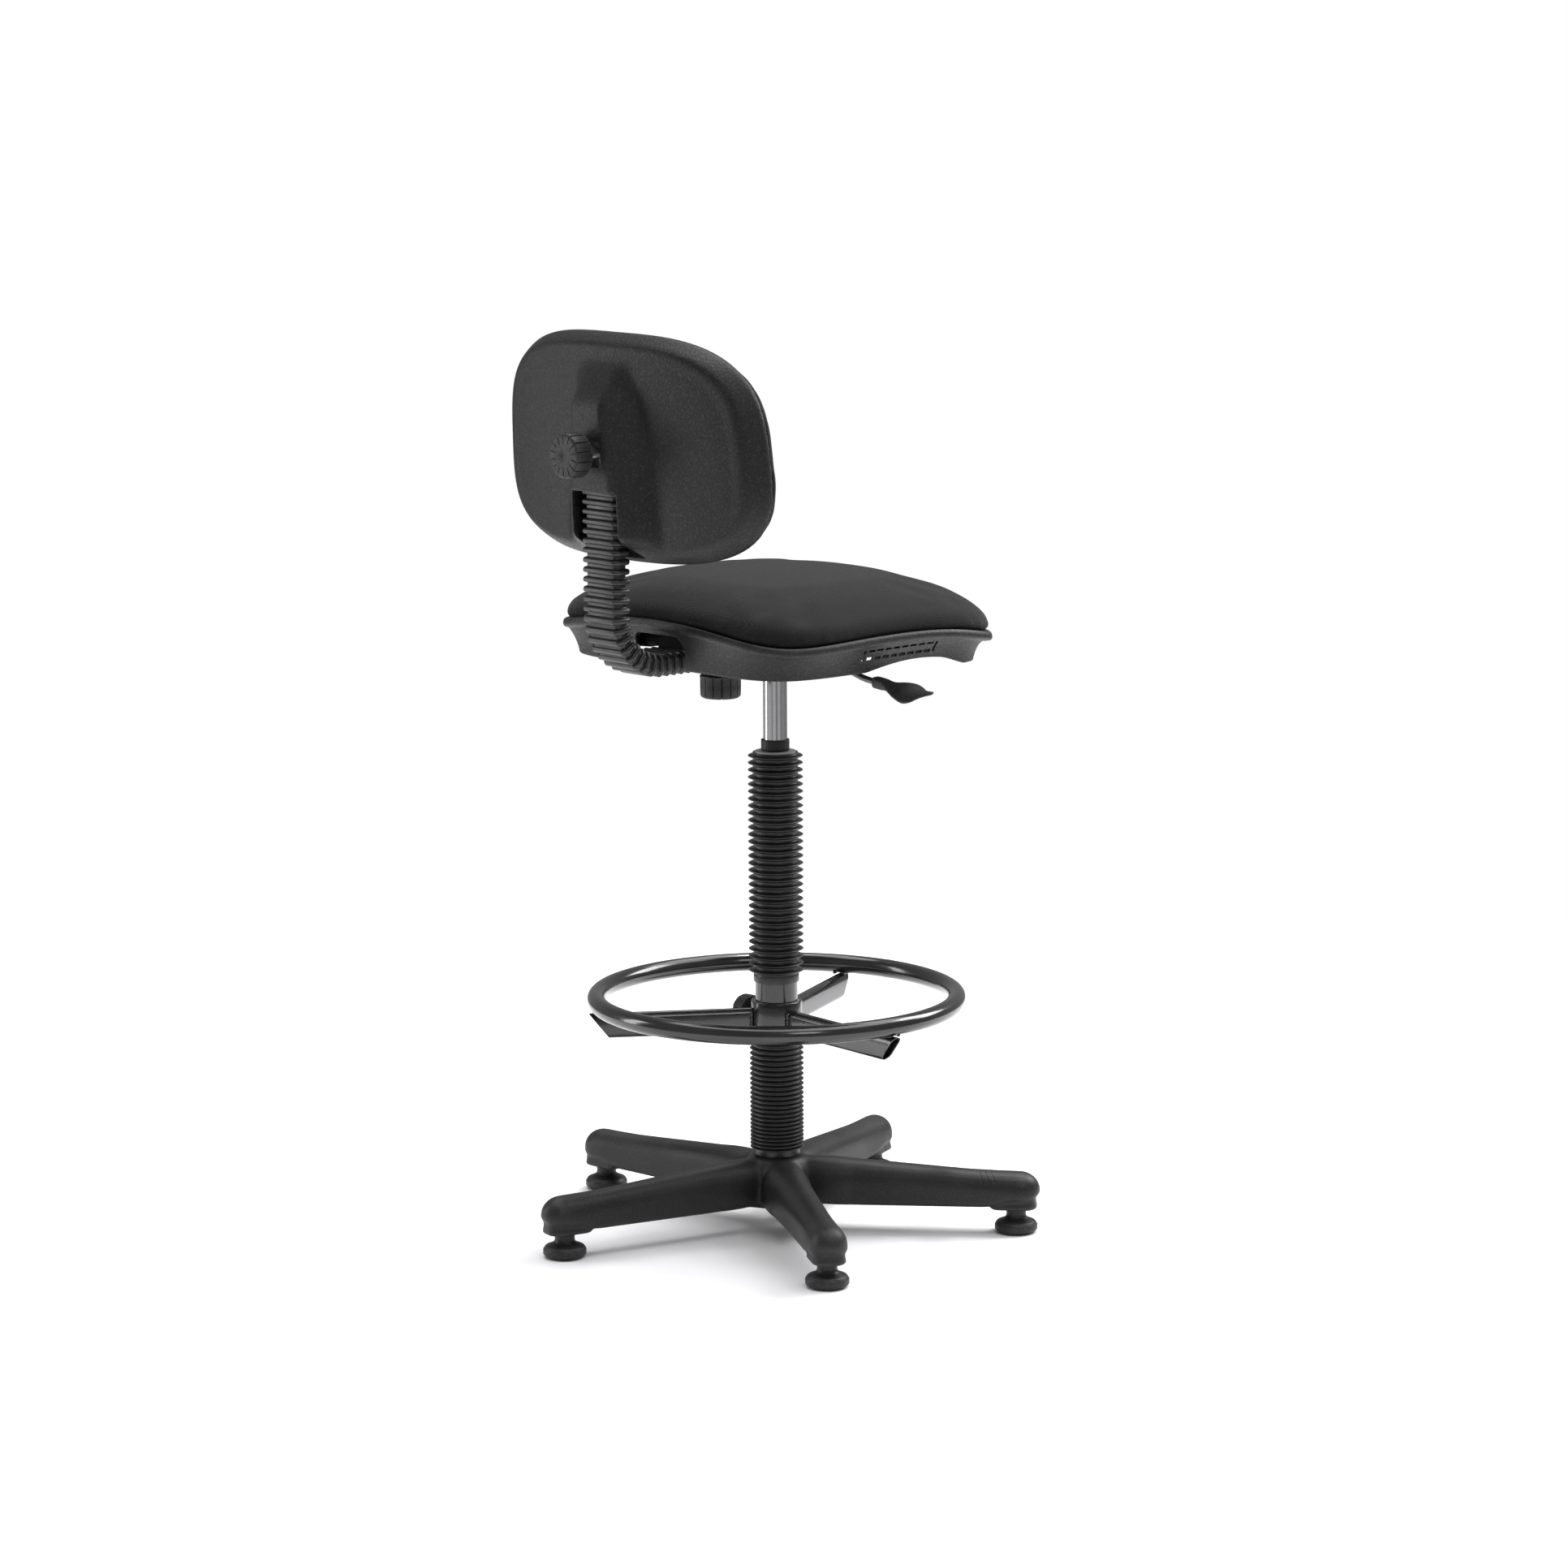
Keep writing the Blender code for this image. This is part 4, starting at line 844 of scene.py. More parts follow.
def make_ring():
    count, seam = 200, 96
    middle = [turned_from_y(-2 * pi * i / count, RING_RADIUS, RING_HEIGHT) for i in range(count)]
    rings = []
    for i, place in enumerate(middle):
        out = unit(place * (1, 1, 0))
        size = RING_TUBE + 0.00025 * max(0.0, 1 - abs(i - seam) / 1.2)
        rings.append([place + out * size * cos(a) + UP * size * sin(a) for a in 2 * pi * np.arange(28) / 28])
    piece("foot_ring_tube", skin(rings, "loop"), GLOSS, "ring", ["foot_ring"])

    hub = thing("ring_hub_sleeve", mesh_of(lathe(tube_profile(0.030, 0.027, HUB_FOOT, HUB_HEAD, 0.0009), 72)))
    finish(hub, GLOSS, "ring", ["ring_hub"], 50)
    top = RING_HEIGHT - RING_TUBE - 0.0003
    width, depth, wall = 0.015, 0.030, 0.0018
    middle_z = top - depth / 2
    outer, inner = stadium(width, depth), stadium(width - 2 * wall, depth - 2 * wall)
    start = 0.0303

    def end(z):
        return 0.198 + 0.024 * (0.5 + z / depth)

    beads = []
    for k in range(3):
        node = "ring_spoke_%d" % (k + 1)
        low, high = extent(node)
        angle = atan2(-(low + high)[0], (low + high)[1])
        turn = Matrix.Rotation(angle + pi / 2, 3, "Z")
        rings = [[(start, y, middle_z + z) for y, z in outer], [(end(z), y, middle_z + z) for y, z in outer],
                 [(end(z) - 0.0003, y * 0.97, middle_z + z * 0.985) for y, z in outer],
                 [(end(z), y, middle_z + z) for y, z in inner], [(start, y, middle_z + z) for y, z in inner]]
        shape = moved(skin(rings, "loop"), turn)
        piece(node + "_tube", shape, GLOSS, "ring", [node], 40)
        for side in (-1, 1):
            joint = [(0.0308, side * (width / 2 + 0.0006), top - 0.004 - 0.0026 * i) for i in range(9)]
            beads.append(moved(weld(joint, 0.0022), turn))
            rest = [(RING_RADIUS - 0.0075 + 0.0025 * i, side * 0.0062, top + 0.0012) for i in range(6)]
            beads.append(moved(weld(rest, 0.0019), turn))
    boss_turn = Matrix.Rotation(RING_KNOB_ANGLE, 3, "Z") @ Matrix.Rotation(-pi / 2, 3, "X")
    boss = lathe(rounded([(0.0044, 0.0300, 0), (0.0095, 0.0300, 0), (0.0095, 0.0380, 0.0008),
                          (0.0044, 0.0380, 0.0003)], True, 3), 32)
    beads.append(moved(boss, boss_turn, (0, 0, RING_KNOB_HEIGHT)))
    piece("ring_welds", joined(*beads), GLOSS, "ring", (), 50)


# ---- knobs ----
def knob_shape(radius, depth, flutes, stem, hollow=0.0, lip=0.0):
    """Knob along +Z: grooved side, face at z = depth with short spokes cut in, dimple in the middle.

    stem lists (radius, z) below the knob; hollow is how deep the back of the knob is scooped out."""
    around = flutes * 20
    angle = 2 * pi * np.arange(around) / around
    phase = (angle * flutes / (2 * pi)) % 1.0
    groove = np.clip(1.6 - np.abs(phase - 0.5) / 0.055, 0, 1)
    half_groove = np.clip(1.5 - np.abs(phase - 0.5) / 0.06, 0, 1)

    def ring(r, z, cut=0.0, dip=0.0):
        size = r - cut * groove
        return np.column_stack([size * np.cos(angle), size * np.sin(angle), z - dip * half_groove])

    rings = [ring(r, z) for r, z in stem]
    last = stem[-1][0]
    if hollow > 0:
        rings += [ring(last, hollow), ring(last + 0.001, hollow), ring(radius - 0.0035, hollow),
                  ring(radius - 0.0028, hollow * 0.5), ring(radius - 0.0024, 0.0004)]
    bite = radius * 0.055
    # outwards from the nominal radius, height, share of the groove's depth
    side = ((-0.0014, 0.0, 0), (-0.0005, 0.0003, 0), (lip, 0.0010, 0.3), (lip, 0.0024, 0.8), (0, 0.0036, 1),
            (0, depth * 0.5, 1), (-0.0003, depth - 0.0034, 1), (-0.0008, depth - 0.0020, 1),
            (-0.0020, depth - 0.0008, 0.7))
    rings += [ring(radius + out, z, bite * share) for out, z, share in side]
    rings.append(ring(radius - 0.0036, depth - 0.0001, 0, 0.0006))
    # share of the radius, depth of the dimple, depth of the spokes
    face = ((0.80, 0, 0.0009), (0.62, 0, 0.0009), (0.52, 0, 0.0002), (0.50, 0, 0), (0.24, 0.0002, 0),
            (0.12, 0.0010, 0), (0.05, 0.0014, 0))
    rings += [ring(radius * share, depth - sink, 0, dip) for share, sink, dip in face]
    return skin(rings)


def make_knobs():
    low, high = extent("depth_knob")
    turn = Matrix.Rotation(pi, 3, "X")
    depth = 0.027
    base = low[2] + depth
    stem = [(0.0045, base - high[2]), (0.0045, -0.0085), (0.0078, -0.0083), (0.0078, -0.001)]
    shape = knob_shape(0.0236, depth, 14, stem, 0.006, 0.0004)
    piece("depth_knob_grip", moved(shape, turn, (0, (low[1] + high[1]) / 2, base)), KNOB_PLASTIC,
          "depth_clamp", ["depth_knob"], 35)

    low, high = extent("back_knob")
    turn = Matrix.Rotation(-pi / 2, 3, "X")
    depth = 0.022
    base = high[1] - depth
    stem = [(0.0045, low[1] - base), (0.0045, -0.004), (0.0092, -0.0038), (0.0092, 0.0)]
    shape = knob_shape(0.0258, depth, 14, stem)
    piece("back_knob_grip", moved(shape, turn, (0, base, CLAMP_Z)), KNOB_PLASTIC, "back_clamp",
          ["back_knob"], 35)
    thread = []
    for i in range(16):
        z = -0.0345 + 0.0019 * i
        thread += [(0.0047, z), (0.0056, z + 0.0006), (0.0056, z + 0.0009), (0.0047, z + 0.0015)]
    piece("back_knob_thread", moved(lathe(thread, 32, "fan"), turn, (0, base, CLAMP_Z)), STEEL, "back_clamp",
          (), 40)

    turn = Matrix.Rotation(RING_KNOB_ANGLE, 3, "Z") @ Matrix.Rotation(-pi / 2, 3, "X")
    stem = [(0.0040, -0.0168), (0.0040, -0.003), (0.0080, -0.0028), (0.0080, 0.0)]
    place = turned_from_y(RING_KNOB_ANGLE, RING_KNOB_REACH, RING_KNOB_HEIGHT)
    piece("ring_knob_grip", moved(knob_shape(0.0185, 0.020, 12, stem), turn, place), KNOB_PLASTIC,
          "ring_clamp", ["ring_knob"], 35)


# ---- seat ----
def rim_height(x, y):
    across = np.clip(np.abs(x) / SEAT_HALF_WIDTH, 0, 1)
    along = np.clip((y - SEAT_CENTRE_Y) / SEAT_HALF_DEPTH, -1, 1)
    return (RIM_HEIGHT - RIM_SIDE_DROP * across ** 2 - RIM_FRONT_DROP * np.maximum(-along, 0) ** 3
            - RIM_CORNER_DROP * (across * along) ** 2)


def skirt_bottom(x, y):
    """Lower edge of the pan: deep beside and behind the sitter, cut away to the rim in front."""
    side = np.abs(x) / SEAT_HALF_WIDTH
    reach = np.clip(np.abs(y - SKIRT_ARCH_Y) / SKIRT_ARCH_HALF, 0, 1)
    deep = SKIRT_BOTTOM + SKIRT_ARCH_RISE * np.cos(reach * pi / 2) * side
    deep = deep - SKIRT_FOOT * side * ease(-0.080, -0.130, y)
    share = ease(SKIRT_FRONT - SKIRT_RAMP / 2, SKIRT_FRONT + SKIRT_RAMP / 2, y)
    return (rim_height(x, y) - 0.016) * (1 - share) + deep * share


SEAT_COUNT = 360
SEAT_LINE = outline(SEAT_HALF_WIDTH, SEAT_HALF_DEPTH, SEAT_CORNER, SEAT_COUNT, 0.06)
SEAT_NORMAL = outward(SEAT_LINE)


def seat_ring(out, height, lift=0.0, scale=1.0, every=1):
    """Ring of the seat's outline moved out by a distance; height is a function of place or a level."""
    line = (SEAT_LINE * scale + SEAT_NORMAL * out)[::every]
    x, y = line[:, 0], line[:, 1] + SEAT_CENTRE_Y
    level = height(x, y) if callable(height) else np.full(len(line), float(height))
    return np.column_stack([x, y, level + lift])


def make_pan():
    """Seat pan: deck, rolled rim, waisted skirt with a turned-in lower edge, arch and vents."""
    def skirt(share, inset):
        """Ring part of the way down the skirt."""
        line = SEAT_LINE - SEAT_NORMAL * inset
        x, y = line[:, 0], line[:, 1] + SEAT_CENTRE_Y
        top = rim_height(x, y) - 0.0125
        return np.column_stack([x, y, top * (1 - share) + skirt_bottom(x, y) * share])

    def deck(level, drop):
        """Height of the deck's edge, kept under the rim by a drop."""
        return lambda x, y: np.minimum(level, rim_height(x, y) - drop)

    def rim(*places):
        return [seat_ring(out, rim_height, lift) for out, lift in places]

    insets = ((0.0, 0.0052), (0.05, 0.0062), (0.12, 0.0074), (0.25, 0.0096), (0.42, 0.0122),
              (0.62, 0.0146), (0.80, 0.0163), (0.92, 0.0172), (0.975, 0.0175))
    outer = [seat_ring(0, deck(DECK_TOP, 0.005), 0, 0.82), seat_ring(-0.0175, deck(DECK_TOP + 0.003, 0.010))]
    outer += rim((-0.0125, -0.0085), (-0.0085, -0.0040), (-0.0050, -0.0012), (-0.0030, -0.0003),
                 (-0.0012, 0.0), (0.0003, -0.0008), (0.0012, -0.0026), (0.0016, -0.0050),
                 (0.0012, -0.0074), (0.0001, -0.0094), (-0.0018, -0.0108), (-0.0038, -0.0116))
    outer += [skirt(share, inset) for share, inset in insets]
    edge = [skirt(0.995, 0.0181), skirt(1.0, 0.0190), skirt(0.995, 0.0199)]
    inner = [skirt(share, inset + WALL) for share, inset in insets[::-1]]
    inner += rim((-0.0050, -0.0120), (-0.0024, -0.0105), (-0.0012, -0.0080), (-0.0010, -0.0050),
                 (-0.0020, -0.0030), (-0.0050, -0.0040), (-0.0085, -0.0070), (-0.0125, -0.0115))
    inner += [seat_ring(-0.0175, deck(DECK_TOP, 0.013)), seat_ring(0, deck(DECK_TOP, 0.005), -WALL, 0.82)]
    deck_low = seat_ring(0, DECK_TOP - WALL, 0, 0.50)
    deck_high = seat_ring(0, DECK_TOP, 0, 0.50)
    pan = thing("seat_pan", mesh_of(skin([deck_high] + outer + edge + inner + [deck_low], "loop")))

    arch = rounded([(-ARCH_HALF, 0.640, 0), (ARCH_HALF, 0.640, 0), (ARCH_HALF, ARCH_TOP, 0.012),
                    (-ARCH_HALF, ARCH_TOP, 0.012)], True, 6)
    cut(pan, skin([[(x, y, z) for x, z in arch] for y in (0.080, 0.260)]))

    def slot(side, start, wide, low, tall, radius):
        """Cutter through one side wall."""
        middle = side * VENT_X
        return soft_box((middle - 0.014, start, low), (middle + 0.014, start + wide, low + tall), radius, 1)

    slots = []
    for side in (-1, 1):
        for i in range(VENT_COUNT):
            for low, tall in ((VENT_LOW, 0.0038), (0.7088, 0.0026)):
                slots.append(slot(side, VENT_START + i * VENT_STEP, 0.0104, low, tall, 0.0005))
        for start, wide in ((-0.0692, 0.0036), (VENT_START + VENT_COUNT * VENT_STEP, 0.0050)):
            slots.append(slot(side, start, wide, VENT_LOW, 0.0126, 0.0006))
    cut(pan, joined(*slots))
    finish(pan, PLASTIC, "seat", ["seat_shell"], 32)
    baffles = []
    for side in (-1, 1):
        section = ((0.1850, 0.6940), (0.1950, 0.7125), (0.1940, 0.7130), (0.1840, 0.6945))
        line = [(side * x, z) for x, z in section]
        baffles.append(skin([[(x, y, z) for x, z in line] for y in (-0.076, 0.020)]))
    piece("vent_baffles", joined(*baffles), COLLAR_PLASTIC, "seat", (), 40)


def pad(name, shape, voxel, cap, hold, press=4.0, last=18):
    """Padded piece: the form is remeshed, blown up a little as cloth, capped, and smoothed.

    hold(points) gives how free each point is, from 0, held, to 1."""
    item = thing(name, mesh_of(shape, name))
    even_out(item, voxel, 2)
    start = points_of(item)
    free = hold(start - AXIS)
    pins = item.vertex_groups.new(name="held")
    for i, share in enumerate(free):
        pins.add([i], 1.0 - float(share), "REPLACE")
    cloth = item.modifiers.new("cloth", "CLOTH")
    fabric = cloth.settings
    fabric.quality = 5
    fabric.mass = 0.3
    fabric.tension_stiffness = fabric.compression_stiffness = 40.0
    fabric.bending_stiffness = 4.0
    fabric.use_pressure = True
    fabric.uniform_pressure_force = press
    fabric.vertex_group_mass = "held"
    fabric.effector_weights.gravity = 0.0
    cloth.point_cache.frame_end = last
    for number in range(1, last + 1):
        bpy.context.scene.frame_set(number)
    settle(item)
    bpy.context.scene.frame_set(1)
    end = points_of(item)
    shift = (end - start) * free[:, None]
    length = np.linalg.norm(shift, axis=1)
    shift *= (np.minimum(length, cap) / np.maximum(length, 1e-9))[:, None]
    set_points(item, start + shift)
    swell = item.vertex_groups.new(name="swell")
    for i, share in enumerate(free):
        swell.add([i], float(share), "REPLACE")
    soft = item.modifiers.new("soft", "SMOOTH")
    soft.iterations, soft.factor, soft.vertex_group = 18, 0.5, "swell"
    finer = item.modifiers.new("finer", "SUBSURF")
    finer.levels = finer.render_levels = 1
    return settle(item)


def make_seat_pad():
    board_top = DECK_TOP + 0.0115
    rings = [seat_ring(0, board_top, 0, 0.40, 2), seat_ring(0, board_top, 0, 0.70, 2),
             seat_ring(-0.030, lambda x, y: np.maximum(board_top, rim_height(x, y) - 0.006), 0, 1, 2)]
    for out, lift in ((-0.0110, -0.0030), (-0.0052, 0.0), (-0.0028, 0.0040), (-0.0022, 0.0095),
                      (-0.0034, 0.0155), (-0.0070, 0.0220), (-0.0135, 0.0285), (-0.0230, 0.0340)):
        rings.append(seat_ring(out, rim_height, lift, 1, 2))
    for scale, share, lift in ((0.80, 0.60, 0.0165), (0.70, 0.78, 0.0120), (0.60, 0.88, 0.0075),
                               (0.50, 0.94, 0.0035), (0.35, 0.98, 0.0010), (0.20, 1.0, 0.0)):
        ring = seat_ring(0, rim_height, 0, scale, 2)
        edge = seat_ring(0, rim_height, 0, 1.0, 2)[:, 2]
        ring[:, 2] = edge * (1 - share) + (CROWN_HEIGHT - 0.002) * share + lift
        rings.append(ring)

    def hold(points):
        lift = points[:, 2] - rim_height(points[:, 0], points[:, 1])
        return ease(0.004, 0.016, lift)

    item = pad("seat_upholstery", skin(rings), 0.0055, 0.006, hold)
    points = points_of(item)
    foot = rim_height(points[:, 0] - AXIS[0], points[:, 1] - AXIS[1])
    lift = np.maximum(points[:, 2] - foot, 0.0)
    stretch = (CROWN_HEIGHT - RIM_HEIGHT) / lift.max() - 1.0
    points[:, 2] += lift * stretch * ease(0.004, 0.030, lift)
    points[:, 2] = np.minimum(points[:, 2], CROWN_HEIGHT + 0.001)
    set_points(item, points)
    finish(item, TWILL, "seat", ["seat_cushion"])
    section = ((0.80, 0.0003), (0.842, 0.0003), (0.850, 0.0012), (0.852, 0.0125), (0.838, 0.0125),
               (0.836, 0.0008), (0.80, 0.0006))
    wrap = skin([seat_ring(0, DECK_TOP + z, 0, scale, 2) for scale, z in section], "loop")
    piece("seat_cover_hem", wrap, TWILL, "seat", ())
    board = skin([seat_ring(0, z, 0, 0.83, 4) for z in (DECK_TOP + 0.0009, DECK_TOP + 0.0107)])
    piece("seat_board_ply", board, PLY, "seat", ["seat_board"], 40)


# ---- lever ----
def make_lever():
    low, high = extent("lever_pin")
    pivot = (low + high) / 2
    route = spline([(-0.002, 0, 0.0030), (-0.020, 0, -0.0012), (-0.045, 0, -0.0035), (-0.072, 0, -0.0085),
                    (-0.094, 0, -0.0162), (-0.114, 0, -0.0214), (-0.134, 0, -0.0238)], 6)
    parts = [sweep(route, circle(0.0037, 16), (0, 1, 0)),
             moved(lathe(tube_profile(0.0062, 0.0028, -0.0085, 0.0085, 0.0006), 28),
                   Matrix.Rotation(pi / 2, 3, "X")),
             soft_box((0.0020, -0.0050, 0.0042), (0.0410, 0.0050, 0.0066), 0.0006, 2)]
    piece("lever_wire", moved(joined(*parts), None, pivot), SATIN, "height_lever",
          ["lever_rod"], 40)

    # place along, half width, half thickness, height, twist, cup
    stations = spline([
        (-0.1330, 0.0062, 0.0056, -0.0237, 0.00, 0.0), (-0.1345, 0.0072, 0.0066, -0.0239, 0.00, 0.0),
        (-0.1480, 0.0076, 0.0064, -0.0252, -0.02, 0.0), (-0.1510, 0.0080, 0.0054, -0.0255, -0.08, 0.0),
        (-0.1590, 0.0098, 0.0032, -0.0264, -0.30, 0.0006),
        (-0.1700, 0.0136, 0.0022, -0.0276, -0.52, 0.0016), (-0.1850, 0.0160, 0.0019, -0.0294, -0.62, 0.0028),
        (-0.1980, 0.0132, 0.0018, -0.0301, -0.55, 0.0022), (-0.2090, 0.0075, 0.0017, -0.0292, -0.42, 0.0010),
        (-0.2235, 0.0028, 0.0015, -0.0272, -0.30, 0.0),
    ], 6)
    rings = []
    for x, half, thick, z, twist, cup in stations:
        ring = []
        for a, b in outline(1.0, 1.0, 3.4, 28):
            across, up = a * half, b * thick + cup * (1 - a * a) * 1.6 - cup
            ring.append((x, across * cos(twist) - up * sin(twist), z + across * sin(twist) + up * cos(twist)))
        rings.append(ring)
    piece("lever_paddle", moved(skin(rings), None, pivot), KNOB_PLASTIC, "height_lever",
          ["lever_handle"], 60)


# ---- back bar and boot ----
def bar_place(distance, start):
    """Place and direction on the bar's route: level, quarter bend, upright."""
    level, bend = BAR_Y - BAR_BEND - start, BAR_BEND * pi / 2
    if distance < level:
        return start + distance, BAR_Z, 0.0
    angle = min((distance - level) / BAR_BEND, pi / 2)
    rise = max(distance - level - bend, 0.0)
    return BAR_Y - BAR_BEND + BAR_BEND * sin(angle), BAR_Z + BAR_BEND * (1 - cos(angle)) + rise, angle


def bar_ring(distance, start, half_x, half_t, corner, steps=4):
    """Ring across the bar's route: a rectangle with rounded or, with steps 0, cut-off corners."""
    y, z, angle = bar_place(distance, start)
    if steps:
        loop = rounded([(-half_x, -half_t, corner), (half_x, -half_t, corner), (half_x, half_t, corner),
                        (-half_x, half_t, corner)], True, steps)
    else:
        x, t = half_x, half_t
        loop = [(-x + corner, -t), (x - corner, -t), (x, -t + corner), (x, t - corner), (x - corner, t),
                (-x + corner, t), (-x, t - corner), (-x, -t + corner)]
        loop = rounded([(a, b, 0.0016) for a, b in loop], True, 2)
    return [(x, y - t * sin(angle), z + t * cos(angle)) for x, t in loop]


def make_bar():
    low, high = extent("back_bar")
    start, top = low[1], high[2]
    total = BAR_Y - BAR_BEND - start + BAR_BEND * pi / 2 + top - BAR_Z - BAR_BEND
    rings = [bar_ring(total * i / 90, start, 0.018, 0.003, 0.0009, 2) for i in range(91)]
    piece("back_bar_strip", skin(rings), SATIN, "back_support", ["back_bar"], 40)

    total = BAR_Y - BAR_BEND - BOOT_START + BAR_BEND * pi / 2 + BOOT_TOP - BAR_Z - BAR_BEND
    ribs, proud, half_rib = 28, 0.0046, 0.30
    marks = [(m, (1 - (1 - min(abs(m) / half_rib, 1) ** 2.4) ** (1 / 2.4)) if abs(m) < half_rib else 1.0)
             for m in (-0.42, -0.30, -0.285, -0.25, -0.17, 0.0, 0.17, 0.25, 0.285, 0.30, 0.42)]
    outer = []
    for i in range(ribs):
        for mark, share in marks:
            dip = proud * share
            outer.append(bar_ring(total * (i + 0.5 + mark) / ribs, BOOT_START, BOOT_HALF_WIDTH - dip,
                                  BOOT_HALF_DEPTH - dip, 0.0062 - dip * 0.5, 0))
    inner = [bar_ring(total * i / 40, BOOT_START, 0.0189, 0.0058, 0.0030, 0) for i in range(40, -1, -1)]
    item = piece("bar_boot_bellows", skin(outer + inner, "loop"), RUBBER, None, ["bar_boot"])
    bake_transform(item)


# ---- backrest ----
BACK_COUNT = 300


def back_line(scale=1.0, out=0.0, count=BACK_COUNT):
    line = outline(BACK_HALF_WIDTH, BACK_HALF_HEIGHT, BACK_CORNER, count, 0.04)
    line[:, 0] *= 1 + BACK_TAPER * line[:, 1] / BACK_HALF_HEIGHT
    return line * scale + outward(line) * out


def back_points(line, depth):
    """Points of the backrest from (across, up) pairs; depth is behind its rim surface."""
    x, z = line[:, 0], line[:, 1]
    level = depth(x, z) if callable(depth) else np.full(len(x), float(depth))
    y = BACK_RIM_Y - x * x / (2 * BACK_CURVE) + level + z * sin(BACK_LEAN)
    return np.column_stack([x, y, BACK_CENTRE_Z + z * cos(BACK_LEAN)])


def back_rib(x, z, inset=0.0):
    """Raised middle of the shell: round-shouldered, wider towards its foot, fading to the crest above."""
    half = 0.050 + 0.034 * ease(0.100, -0.110, z) - 1.2 * inset
    across = 1.0 - ease(half * 0.36, half * 0.98, np.abs(x))
    height = 0.0335 - 0.0060 * ease(0.0, -0.12, z)
    return height * across * (1.0 - ease(0.040, 0.109, z))


def back_face(x, z, inset=0.0):
    """Depth of the shell inside its crest: shallow dish with the raised middle."""
    across, up = np.abs(x) / (BACK_HALF_WIDTH - CREST), np.abs(z) / (BACK_HALF_HEIGHT - CREST)
    reach = (across ** BACK_CORNER + up ** BACK_CORNER) ** (1 / BACK_CORNER)
    return 0.0194 + 0.0024 * ease(0.30, 1.0, reach) + back_rib(x, z, inset) - inset


def back_solid(inset):
    """Closed solid of the shell's outer form, shrunk by a wall thickness when inset is given."""
    rim = -0.0035
    front = rim + inset
    rings = [back_points(part, front) for part in (back_line(0.25), back_line(0.6), back_line(0.93, -inset))]
    profile = [(0.0, rim), (0.0004, -0.0025), (0.0006, 0.0), (0.0004, 0.0028), (-0.0002, 0.0045),
               (-0.0014, 0.0066), (-0.0042, 0.0110), (-0.0072, 0.0152), (-0.0098, 0.0184),
               (-0.0122, 0.0205), (-0.0148, 0.0218), (-0.0178, 0.0224), (-0.0215, 0.0225),
               (-0.0260, 0.0222), (-CREST, 0.0218)]
    for out, depth in profile:
        def level(x, z, depth=depth, out=out):
            return depth - inset + back_rib(x, z, inset) * ease(0.008, CREST, -out)
        rings.append(back_points(back_line(1.0, out - inset), level))
    base = back_line(1.0, -CREST - inset)
    steps = 30
    for i in range(1, steps):
        rings.append(back_points(base * (1 - i / steps), lambda x, z: back_face(x, z, inset)))
    return skin(rings)


def notch_outline(grow):
    """Opening for the boot: upright, with its foot flaring out to the shell's lower edge."""
    half, flare = NOTCH_HALF + grow, 0.022
    top = 0.8937 + grow
    knee, foot = 0.841, 0.809
    right = [(half, top, 0.0035), (half, knee, 0)]
    for angle in 0.5 * pi * np.arange(1, 8) / 7:
        right.append((half + flare * (1 - cos(angle)), knee - (knee - foot) * sin(angle), 0))
    right.append((half + flare + 0.004, 0.770, 0))
    left = [(-x, z, r) for x, z, r in right[::-1]]
    return rounded(right + left, True, 4)


def make_back_shell():
    shell = thing("back_shell_moulding", mesh_of(back_solid(0.0)))
    notch = notch_outline(0.0)
    cut(shell, skin([[(x, y, z) for x, z in notch] for y in (0.2352, 0.340)]))
    cavity = thing("cavity", mesh_of(back_solid(SHELL_WALL)))
    wider = notch_outline(SHELL_WALL)
    cut(cavity, skin([[(x, y, z) for x, z in wider] for y in (0.2300, 0.345)]))
    subtract(shell, cavity)
    even_out(shell, 0.0014, 5)
    slot = soft_box((-0.0215, 0.262, CLAMP_Z - 0.0150), (0.0140, 0.330, CLAMP_Z + 0.0145), 0.0015, 2)
    cut(shell, slot)
    finish(shell, PLASTIC, "backrest", ["back_shell"], 50)


def make_back_pad():
    def ring(out, depth, scale=1.0):
        return back_points(back_line(scale, out, 180), depth)

    rings = [ring(0, -0.0040, 0.30), ring(0, -0.0040, 0.65), ring(-0.016, -0.0044), ring(-0.0075, -0.0052),
             ring(-0.0038, -0.0075), ring(-0.0030, -0.0110), ring(-0.0050, -0.0158), ring(-0.0100, -0.0210),
             ring(-0.0190, -0.0262)]
    for scale, depth in ((0.80, -0.0318), (0.66, -0.0345), (0.50, -0.0362), (0.33, -0.0372), (0.15, -0.0378)):
        rings.append(ring(0, depth, scale))

    def hold(points):
        x, z = points[:, 0], (points[:, 2] - BACK_CENTRE_Z) / cos(BACK_LEAN)
        depth = points[:, 1] - (BACK_RIM_Y - x * x / (2 * BACK_CURVE) + z * sin(BACK_LEAN))
        return ease(-0.0060, -0.0150, depth)

    item = pad("back_upholstery", skin(rings), 0.0050, 0.004, hold)
    finish(item, TWILL, "backrest", ["back_cushion"])


# ---- pieces whose CAD shape stays ----
def paint_nodes():
    finishes = {
        STEEL: ("column_floor bearing_lower_race bearing_upper_race rod_clip release_pin lever_bracket "
                "lever_pin carriage_plate seat_screw_1 seat_screw_2 seat_screw_3 seat_screw_4 "
                "back_screw_1 back_screw_2 back_screw_3 back_screw_4"),
        CHROME: "piston_rod",
        SATIN: "mechanism_housing cone_socket bar_guide",
        NYLON: "bearing_cage piston ring_bush back_carriage",
        RUBBER: "cylinder_gland",
        PLY: "back_board",
    }
    for paint, names in finishes.items():
        for name in names.split():
            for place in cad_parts[name].material_slots:
                place.material = paint


